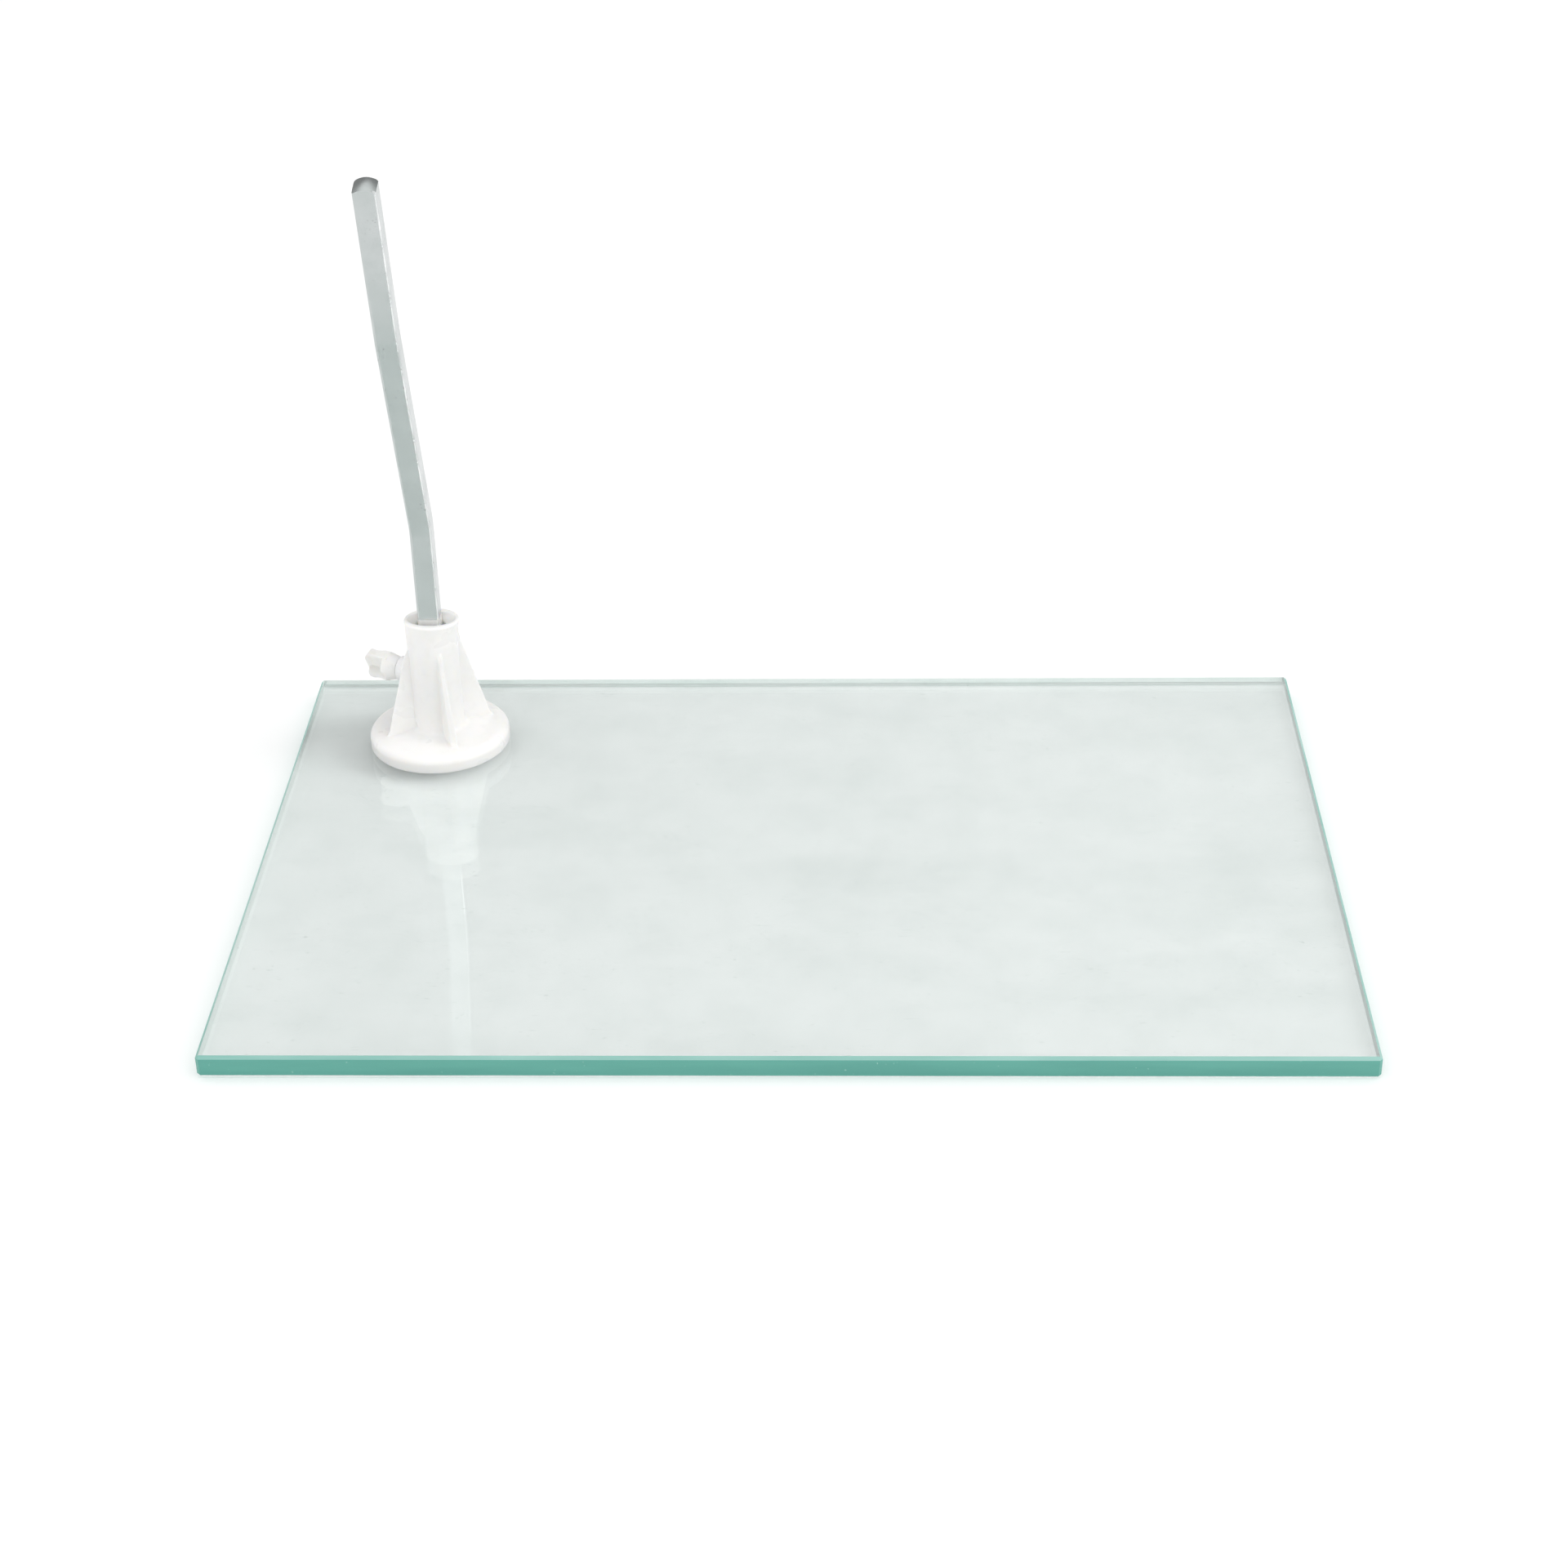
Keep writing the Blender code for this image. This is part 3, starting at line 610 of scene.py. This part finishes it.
bm = cylinder(BORE_RADIUS, BOSS_FACE, BOSS_ROOT_RADIUS, BOSS_RADIUS)
boss = placed("boss", bm, socket_matrix(CLAMP_TURN, CLAMP_HIGH))
carve(socket, boss, "UNION")

funnel = [
    (0.0, SOCKET_HIGH + FUNNEL_ABOVE),
    (FUNNEL_RADIUS + FUNNEL_SPARE, SOCKET_HIGH + FUNNEL_ABOVE),
]
for i in range(FUNNEL_STEPS + 1):
    share = i / FUNNEL_STEPS
    opened = (FUNNEL_RADIUS - BORE_RADIUS) * (1.0 - share) ** FUNNEL_CURVE
    funnel.append((BORE_RADIUS + opened, SOCKET_HIGH - FUNNEL_DEEP * share))
funnel.append((0.0, SOCKET_HIGH - FUNNEL_DEEP))
bm = spun(funnel, ROUND_STEPS)
for vert in bm.verts:
    opening = (vert.co.z - SOCKET_HIGH + FUNNEL_DEEP) / FUNNEL_DEEP
    vert.co.y *= 1.0 + (FUNNEL_OVAL - 1.0) * min(opening, 1.0)
    vert.co.x += MOUTH_SHIFT * min(opening, 1.0)
carve(socket, placed("funnel", bm, socket_matrix(0.0)))
bm = cylinder(BORE_FLOOR, SOCKET_HIGH, BORE_RADIUS, BORE_RADIUS, ROUND_STEPS, "Z")
carve(socket, placed("bore", bm, socket_matrix(0.0)))
bm = bmesh.new()
bmesh.ops.create_cube(bm, size=1.0)
bmesh.ops.scale(bm, verts=bm.verts, vec=(NUT_POCKET, NUT_POCKET, 2 * NUT_POCKET_TOP))
carve(socket, placed("nut_pocket", bm, socket_matrix(RIB_TURN)))
bm = cylinder(-CUT_PAST, GASKET_RECESS_TOP, GASKET_RECESS, GASKET_RECESS, ROUND_STEPS, "Z")
carve(socket, placed("gasket_recess", bm, socket_matrix(0.0)))
bm = cylinder(BOSS_FACE - SEAT_DEEP, BOSS_FACE * 1.5, SEAT_RADIUS, SEAT_RADIUS)
carve(socket, placed("insert_seat", bm, socket_matrix(CLAMP_TURN, CLAMP_HIGH)))
bm = cylinder(0.0, BOSS_FACE, SHANK_HOLE, SHANK_HOLE)
carve(socket, placed("shank_hole", bm, socket_matrix(CLAMP_TURN, CLAMP_HIGH)))
soften(socket, MOULD_GRAIN, SOCKET_EASE, glass_top + SMOOTH_FROM)


GLOSS_CLOUD_SCALE = 60.0
DIRT_SPECK_SCALE = 1300.0
DIRT_FILM_SCALE = 240.0
SPARKLE_SCALE = 2600.0
SINK_MARK_SCALE = 170.0
DIRT_SPECK_SHARE = 0.6
SPARKLE_SHARE = 0.25
MOULD_ROUGHER = 0.08
MOULD_BUMP = 0.00003
MOULD_BUMP_STRENGTH = 0.22
LIGHT_SOAKED_IN = 0.5
SOAKING_BY_COLOUR = (1.0, 0.85, 0.65)


def moulding_group():
    """Moulded plastic's skin: a fine sparkle, soft clouding, sink marks and handling dirt."""
    group = bpy.data.node_groups.new("moulded_skin", "ShaderNodeTree")
    for label, value in (("Grain", 1.0), ("Dirt", 0.3)):
        socket = group.interface.new_socket(label, in_out="INPUT", socket_type="NodeSocketFloat")
        socket.default_value = value
    for label in ("Clouding", "Dirt", "Height"):
        group.interface.new_socket(label, in_out="OUTPUT", socket_type="NodeSocketFloat")
    entry = add_node(group, "NodeGroupInput")
    leave = add_node(group, "NodeGroupOutput")
    place = add_node(group, "ShaderNodeTexCoord").outputs["Object"]
    cloud = spread(group, noise(group, place, GLOSS_CLOUD_SCALE, 3.0), 0.35, 0.65)
    group.links.new(cloud, leave.inputs["Clouding"])
    specks = spread(group, noise(group, place, DIRT_SPECK_SCALE, 2.0), 0.66, 0.76)
    film = spread(group, noise(group, place, DIRT_FILM_SCALE, 4.0, 0.6), 0.52, 0.75)
    dirt = combine(group, "MAXIMUM", combine(group, "MULTIPLY", specks, DIRT_SPECK_SHARE), film)
    dirt = combine(group, "MULTIPLY", dirt, entry.outputs["Dirt"])
    group.links.new(dirt, leave.inputs["Dirt"])
    fine = noise(group, place, SPARKLE_SCALE, 2.0)
    sink = noise(group, place, SINK_MARK_SCALE, 2.0)
    height = combine(group, "MULTIPLY", fine, entry.outputs["Grain"])
    height = combine(group, "MULTIPLY", height, SPARKLE_SHARE)
    height = combine(group, "ADD", height, sink)
    group.links.new(height, leave.inputs["Height"])
    return group


moulded_skin = moulding_group()


def moulded_plastic(name, colour, shade, dirt_colour, roughness, grain, dirt, depth=0.003):
    """A material for one moulded plastic. Light soaks into it to the given depth."""
    made, tree = new_material(name)
    skin = add_node(tree, "ShaderNodeGroup", node_tree=moulded_skin)
    skin.inputs["Grain"].default_value = grain
    skin.inputs["Dirt"].default_value = dirt
    shader = add_node(
        tree,
        "ShaderNodeBsdfPrincipled",
        values={
            "IOR": 1.50,
            "Subsurface Weight": LIGHT_SOAKED_IN,
            "Subsurface Scale": depth,
        },
    )
    shader.inputs["Subsurface Radius"].default_value = SOAKING_BY_COLOUR
    colour = blend_colours(tree, skin.outputs["Clouding"], colour, shade)
    colour = blend_colours(tree, skin.outputs["Dirt"], colour, dirt_colour)
    tree.links.new(colour, shader.inputs["Base Color"])
    rougher = roughness + MOULD_ROUGHER
    gloss = spread(tree, skin.outputs["Clouding"], 0.0, 1.0, roughness, rougher)
    tree.links.new(gloss, shader.inputs["Roughness"])
    bumps = raised(tree, skin.outputs["Height"], MOULD_BUMP, MOULD_BUMP_STRENGTH)
    tree.links.new(bumps, shader.inputs["Normal"])
    finish_with(tree, shader.outputs["BSDF"])
    return made


SOCKET_WHITE = (0.90, 0.895, 0.885)
SOCKET_WHITE_SHADE = (0.885, 0.877, 0.862)
HANDLING_GREY = (0.62, 0.61, 0.57)
white = moulded_plastic(
    "white_abs", SOCKET_WHITE, SOCKET_WHITE_SHADE, HANDLING_GREY, 0.27, 1.0, 0.10
)
socket.data.materials.clear()
socket.data.materials.append(white)
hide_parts("socket_body")
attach(socket, "socket")

# ---- Gasket and hole sleeve --------------------------------------------------------------------
# A soft clear PVC washer spreads the socket's load on the glass, and a nylon sleeve fills the
# countersunk hole so that no steel touches it. Both keep the frame's shape.

PVC_CLEAR = (0.80, 0.84, 0.82)
PVC_CLEAR_SHADE = (0.74, 0.79, 0.77)
NYLON_WHITE = (0.84, 0.83, 0.78)
NYLON_WHITE_SHADE = (0.80, 0.79, 0.73)
soft = moulded_plastic(
    "soft_washer", PVC_CLEAR, PVC_CLEAR_SHADE, HANDLING_GREY, 0.42, 0.6, 0.35
)
nylon = moulded_plastic(
    "nylon_sleeve", NYLON_WHITE, NYLON_WHITE_SHADE, HANDLING_GREY, 0.40, 0.8, 0.30
)


def finish_node(name, look):
    """Gives a node of the frame its finished material."""
    mesh = frame["nodes"][name].data
    mesh.materials.clear()
    mesh.materials.append(look)


finish_node("flange_gasket", soft)
finish_node("hole_sleeve", nylon)

# ---- Base screw, nut, insert and shank ---------------------------------------------------------
# Zinc-plated steel holds the socket down, a knurled brass insert sits in the boss, and the clamp
# screw's steel shank runs through it to the bar.

DRAWN_LINE_SCALE = 1800.0
PLATING_CLOUD_SCALE = 75.0
PIT_SCALE = 1100.0
PIT_PATCH_SCALE = 90.0
LINE_SHARE = 0.3
METAL_ROUGHER = 0.10
LINE_ROUGHER = 0.06
METAL_BUMP = 0.00004
METAL_BUMP_STRENGTH = 0.4
EVEN = (1.0, 1.0, 1.0)


def metal_group():
    """Worked metal's surface: fine drawn lines, pits and cloudy plating."""
    group = bpy.data.node_groups.new("worked_metal", "ShaderNodeTree")
    for label, value in (("Scale", 1.0), ("Pits", 0.5)):
        socket = group.interface.new_socket(label, in_out="INPUT", socket_type="NodeSocketFloat")
        socket.default_value = value
    drawing = group.interface.new_socket(
        "Drawn", in_out="INPUT", socket_type="NodeSocketVector"
    )
    drawing.default_value = EVEN
    for label in ("Clouding", "Lines", "Pits", "Height"):
        group.interface.new_socket(label, in_out="OUTPUT", socket_type="NodeSocketFloat")
    entry = add_node(group, "NodeGroupInput")
    leave = add_node(group, "NodeGroupOutput")
    place = add_node(group, "ShaderNodeTexCoord").outputs["Object"]
    scaled = add_node(group, "ShaderNodeVectorMath", operation="SCALE")
    group.links.new(place, scaled.inputs[0])
    group.links.new(entry.outputs["Scale"], scaled.inputs["Scale"])
    even = scaled.outputs["Vector"]
    stretched = add_node(group, "ShaderNodeVectorMath", operation="MULTIPLY")
    group.links.new(even, stretched.inputs[0])
    group.links.new(entry.outputs["Drawn"], stretched.inputs[1])
    lines = noise(group, stretched.outputs["Vector"], DRAWN_LINE_SCALE, 3.0, 0.6)
    group.links.new(lines, leave.inputs["Lines"])
    cloud = spread(group, noise(group, even, PLATING_CLOUD_SCALE, 5.0, 0.6), 0.35, 0.65)
    group.links.new(cloud, leave.inputs["Clouding"])
    pits = spread(group, noise(group, even, PIT_SCALE, 2.0), 0.65, 0.73)
    gathered = spread(group, noise(group, even, PIT_PATCH_SCALE, 2.0), 0.45, 0.60)
    pits = combine(group, "MULTIPLY", pits, gathered)
    pits = combine(group, "MULTIPLY", pits, entry.outputs["Pits"])
    group.links.new(pits, leave.inputs["Pits"])
    height = combine(group, "MULTIPLY", lines, LINE_SHARE)
    height = combine(group, "SUBTRACT", height, pits)
    group.links.new(height, leave.inputs["Height"])
    return group


worked_metal = metal_group()


def metal(name, colour, shade, pit_colour, roughness, drawn, pits):
    """A material for one metal or plating."""
    made, tree = new_material(name)
    skin = add_node(tree, "ShaderNodeGroup", node_tree=worked_metal)
    skin.inputs["Pits"].default_value = pits
    skin.inputs["Drawn"].default_value = drawn
    shader = add_node(tree, "ShaderNodeBsdfPrincipled", values={"Metallic": 1.0})
    colour = blend_colours(tree, skin.outputs["Clouding"], colour, shade)
    colour = blend_colours(tree, skin.outputs["Pits"], colour, pit_colour)
    tree.links.new(colour, shader.inputs["Base Color"])
    rougher = roughness + METAL_ROUGHER
    gloss = spread(tree, skin.outputs["Clouding"], 0.0, 1.0, roughness, rougher)
    in_lines = spread(tree, skin.outputs["Lines"], 0.3, 0.7, 0.0, LINE_ROUGHER)
    gloss = combine(tree, "ADD", gloss, in_lines)
    tree.links.new(gloss, shader.inputs["Roughness"])
    bumps = raised(tree, skin.outputs["Height"], METAL_BUMP, METAL_BUMP_STRENGTH)
    tree.links.new(bumps, shader.inputs["Normal"])
    finish_with(tree, shader.outputs["BSDF"])
    return made


ZINC = (0.62, 0.63, 0.62)
ZINC_SHADE = (0.52, 0.53, 0.52)
ZINC_PIT = (0.30, 0.29, 0.27)
BRASS = (0.76, 0.58, 0.30)
BRASS_SHADE = (0.66, 0.48, 0.22)
BRASS_PIT = (0.32, 0.20, 0.09)
zinc = metal("zinc_plated_steel", ZINC, ZINC_SHADE, ZINC_PIT, 0.30, EVEN, 0.8)
brass = metal("turned_brass", BRASS, BRASS_SHADE, BRASS_PIT, 0.28, EVEN, 0.6)
finish_node("base_screw", zinc)
finish_node("base_nut", zinc)
finish_node("wing_screw_shank", zinc)
finish_node("threaded_insert", brass)

# ---- Square bar --------------------------------------------------------------------------------
# Cold-drawn 8 mm square steel, bent forwards in two places, its edges rounded and its top end
# dressed to a low dome, then chromium plated. One rounded corner carries a painted highlight, and
# the foot carries a painted reflection of the socket's white mouth where it stands in the socket.

BAR_WIDE = 0.0080
BAR_EDGE = 0.0009
BAR_EDGE_STEPS = 4
BAR_FROM = 0.0103
BAR_STRAIGHT = 0.0802
BAR_MIDDLE = 0.0911
BAR_UPPER = 0.0617
LEAN_MIDDLE = 20.2
LEAN_UPPER = 13.7
BEND_RADIUS = 0.018
BEND_STEPS = 12
BAR_DOME = 0.0014
BAR_DOME_ACROSS = 0.2
BAR_PARTS = 60
BAR_CUTS = 8
BAR_MERGE = 0.00001
# How far round the front right corner the painted highlight reaches.
PAINTED_HIGHLIGHT_REACH = 0.8
# Up to this length the bar's foot carries a painted reflection of the socket's white mouth.
PAINTED_REFLECTION_TOP = 0.0430
BAR_SMOOTH_BELOW = 35.0

bar_stations = [(0.0, 0.0)]
lean = 0.0
at = 0.0
for run, next_lean in ((BAR_STRAIGHT, LEAN_MIDDLE), (BAR_MIDDLE, LEAN_UPPER)):
    at += run
    change = math.radians(next_lean) - lean
    half = BEND_RADIUS * math.tan(abs(change) / 2)
    for i in range(BEND_STEPS + 1):
        share = i / BEND_STEPS
        bar_stations.append((at - half + 2 * half * share, lean + change * share))
    lean = math.radians(next_lean)
bar_length = at + BAR_UPPER
bar_stations.append((bar_length, lean))


def along_bar(height):
    """The bar's centre line and lean at a length along it."""
    point = Vector((0.0, 0.0, 0.0))
    for (start, lean_start), (end, lean_end) in zip(bar_stations, bar_stations[1:]):
        step = min(height, end) - start
        reached = lean_start + (lean_end - lean_start) * step / (end - start)
        mean = (lean_start + reached) / 2
        point += Vector((0.0, -math.sin(mean), math.cos(mean))) * step
        if height <= end:
            break
    return point, reached


PAINTED_HIGHLIGHT = 1
PAINTED_REFLECTION = 2
bm = bmesh.new()
bmesh.ops.create_cube(bm, size=1.0)
bmesh.ops.scale(bm, verts=bm.verts, vec=(BAR_WIDE, BAR_WIDE, bar_length))
bmesh.ops.translate(bm, verts=bm.verts, vec=(0.0, 0.0, bar_length / 2))
upright = [edge for edge in bm.edges if abs(edge.verts[0].co.z - edge.verts[1].co.z) > BAR_WIDE]
bmesh.ops.bevel(
    bm,
    geom=upright,
    offset=BAR_EDGE,
    segments=BAR_EDGE_STEPS,
    profile=0.5,
    affect="EDGES",
    material=-1,
)
half_wide = BAR_WIDE / 2
for i in range(1, BAR_CUTS):
    offset = BAR_WIDE * (i / BAR_CUTS - 0.5)
    for direction in ((1.0, 0.0, 0.0), (0.0, 1.0, 0.0)):
        bmesh.ops.bisect_plane(
            bm,
            geom=bm.verts[:] + bm.edges[:] + bm.faces[:],
            plane_co=[offset * part for part in direction],
            plane_no=direction,
        )
cuts = [height for height, _ in bar_stations[1:-1]]
cuts += [bar_length * i / BAR_PARTS for i in range(1, BAR_PARTS)] + [PAINTED_REFLECTION_TOP]
for height in cuts:
    bmesh.ops.bisect_plane(
        bm,
        geom=bm.verts[:] + bm.edges[:] + bm.faces[:],
        plane_co=(0.0, 0.0, height),
        plane_no=(0.0, 0.0, 1.0),
    )
bmesh.ops.remove_doubles(bm, verts=bm.verts, dist=BAR_MERGE)
for vert in bm.verts:
    if vert.co.z > bar_length - BAR_MERGE:
        spread_out = vert.co.x**2 + BAR_DOME_ACROSS * vert.co.y**2
        vert.co.z -= BAR_DOME * spread_out / half_wide**2
# The front right corner, which faces the softbox and the camera, gets a painted highlight.
painted_highlight_from = half_wide - BAR_EDGE * PAINTED_HIGHLIGHT_REACH
for face in bm.faces:
    middle = face.calc_center_median()
    if middle.x > painted_highlight_from and middle.y < -painted_highlight_from:
        face.material_index = PAINTED_HIGHLIGHT
    elif middle.z < PAINTED_REFLECTION_TOP:
        face.material_index = PAINTED_REFLECTION
for vert in bm.verts:
    point, lean = along_bar(min(vert.co.z, bar_length))
    across = Vector((0.0, math.cos(lean), math.sin(lean)))
    vert.co = point + across * vert.co.y + Vector((vert.co.x, 0.0, 0.0))
bmesh.ops.recalc_face_normals(bm, faces=bm.faces)
bmesh.ops.translate(bm, verts=bm.verts, vec=(socket_x, socket_y, glass_top + BAR_FROM))
bar = object_from("bar", bm, BAR_SMOOTH_BELOW)
CHROME = (0.575, 0.605, 0.602)
CHROME_SHADE = (0.53, 0.565, 0.56)
CHROME_PIT = (0.10, 0.10, 0.10)
chrome = metal("chromium_plate", CHROME, CHROME_SHADE, CHROME_PIT, 0.12, (1.0, 1.0, 0.04), 0.6)
# A pale, half metallic chrome paints the corner's highlight.
PAINTED_HIGHLIGHT_CHROME = (0.93, 0.94, 0.94)
# A pale, rough, half metallic chrome paints the reflection of the socket's white mouth on the
# foot.
PAINTED_REFLECTION_CHROME = (0.86, 0.86, 0.85)
PAINTED_REFLECTION_SHADE = (0.62, 0.63, 0.63)
PAINTED_HIGHLIGHT_METALLIC = 0.55
PAINTED_REFLECTION_METALLIC = 0.35
highlight_chrome = metal(
    "chromium_painted_highlight", PAINTED_HIGHLIGHT_CHROME, CHROME, CHROME_PIT, 0.16, (1.0, 1.0, 0.3), 1.6
)
reflection_chrome = metal(
    "chromium_painted_reflection", PAINTED_REFLECTION_CHROME, PAINTED_REFLECTION_SHADE, CHROME_PIT, 0.42, (1.0, 1.0, 0.4), 1.2
)
for look, metallic in ((highlight_chrome, PAINTED_HIGHLIGHT_METALLIC), (reflection_chrome, PAINTED_REFLECTION_METALLIC)):
    look.node_tree.nodes["Principled BSDF"].inputs["Metallic"].default_value = metallic
for look in (chrome, highlight_chrome, reflection_chrome):
    bar.data.materials.append(look)
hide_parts("square_bar")
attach(bar, "bar")

# ---- Wing head ---------------------------------------------------------------------------------
# A white plastic head moulded round the clamp screw's shank: a flared hub that flattens into two
# short wings with a hollow on each side for finger and thumb.

HEAD_START = 0.01488
HEAD_END = 0.02828
HUB_RADIUS = 0.0042
HUB_FLARE_RADIUS = 0.0056
HUB_LENGTH = 0.0056
WING_SPAN = 0.0116
WING_THICK = 0.0046
WING_CORNER = 0.0024
WING_TILT = -10.0
HOLLOW_RADIUS = 0.0062
HOLLOW_DEEP = 0.0015
HOLLOW_IN = 0.0036
HOLLOW_OFF_MIDDLE = 0.0030
WING_ROOT_ALONG = 0.75
WING_ROOT_NARROWED = 0.92
WING_END_DIP = 0.0009
HEAD_GRAIN = 0.00016
HEAD_EASE = 5
HEAD_BORE = 0.0028
HEAD_BORE_END = 0.0185

clamp_matrix = socket_matrix(CLAMP_TURN, CLAMP_HIGH)
tilted = clamp_matrix @ Matrix.Rotation(math.radians(WING_TILT), 4, "X")
bm = cylinder(HEAD_START, HEAD_START + HUB_LENGTH, HUB_RADIUS, HUB_FLARE_RADIUS)
head = placed("wing_head", bm, clamp_matrix)
half = WING_SPAN / 2
lobe = corner(HEAD_END - WING_CORNER, half - WING_CORNER, WING_CORNER, 95.0, -10.0)
root = (HEAD_START + HUB_LENGTH * WING_ROOT_ALONG, half * WING_ROOT_NARROWED)
side = [root, *lobe, (HEAD_END - WING_END_DIP, 0.0)]
side += [(x, -z) for x, z in reversed([root, *lobe])]
bm = bmesh.new()
flat = bm.faces.new([bm.verts.new((x, -WING_THICK / 2, z)) for x, z in side])
grown = bmesh.ops.extrude_face_region(bm, geom=[flat])["geom"]
far = [item for item in grown if isinstance(item, bmesh.types.BMVert)]
bmesh.ops.translate(bm, verts=far, vec=(0.0, WING_THICK, 0.0))
bmesh.ops.recalc_face_normals(bm, faces=bm.faces)
carve(head, placed("wings", bm, tilted), "UNION")
for face_side in (-1.0, 1.0):
    bm = bmesh.new()
    bmesh.ops.create_icosphere(bm, subdivisions=5, radius=HOLLOW_RADIUS)
    away = face_side * (WING_THICK / 2 + HOLLOW_RADIUS - HOLLOW_DEEP)
    centre = (HEAD_END - HOLLOW_IN, away, -face_side * HOLLOW_OFF_MIDDLE)
    bmesh.ops.translate(bm, verts=bm.verts, vec=centre)
    carve(head, placed("hollow", bm, tilted))
bm = cylinder(HEAD_START - CUT_PAST, HEAD_BORE_END, HEAD_BORE, HEAD_BORE)
carve(head, placed("head_bore", bm, clamp_matrix))
soften(head, HEAD_GRAIN, HEAD_EASE)
HEAD_WHITE = (0.86, 0.855, 0.84)
HEAD_WHITE_SHADE = (0.83, 0.82, 0.80)
head_white = moulded_plastic(
    "white_head", HEAD_WHITE, HEAD_WHITE_SHADE, HANDLING_GREY, 0.34, 1.0, 0.35
)
head.data.materials.clear()
head.data.materials.append(head_white)
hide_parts("wing_screw_head")
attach(head, "clamp_head")
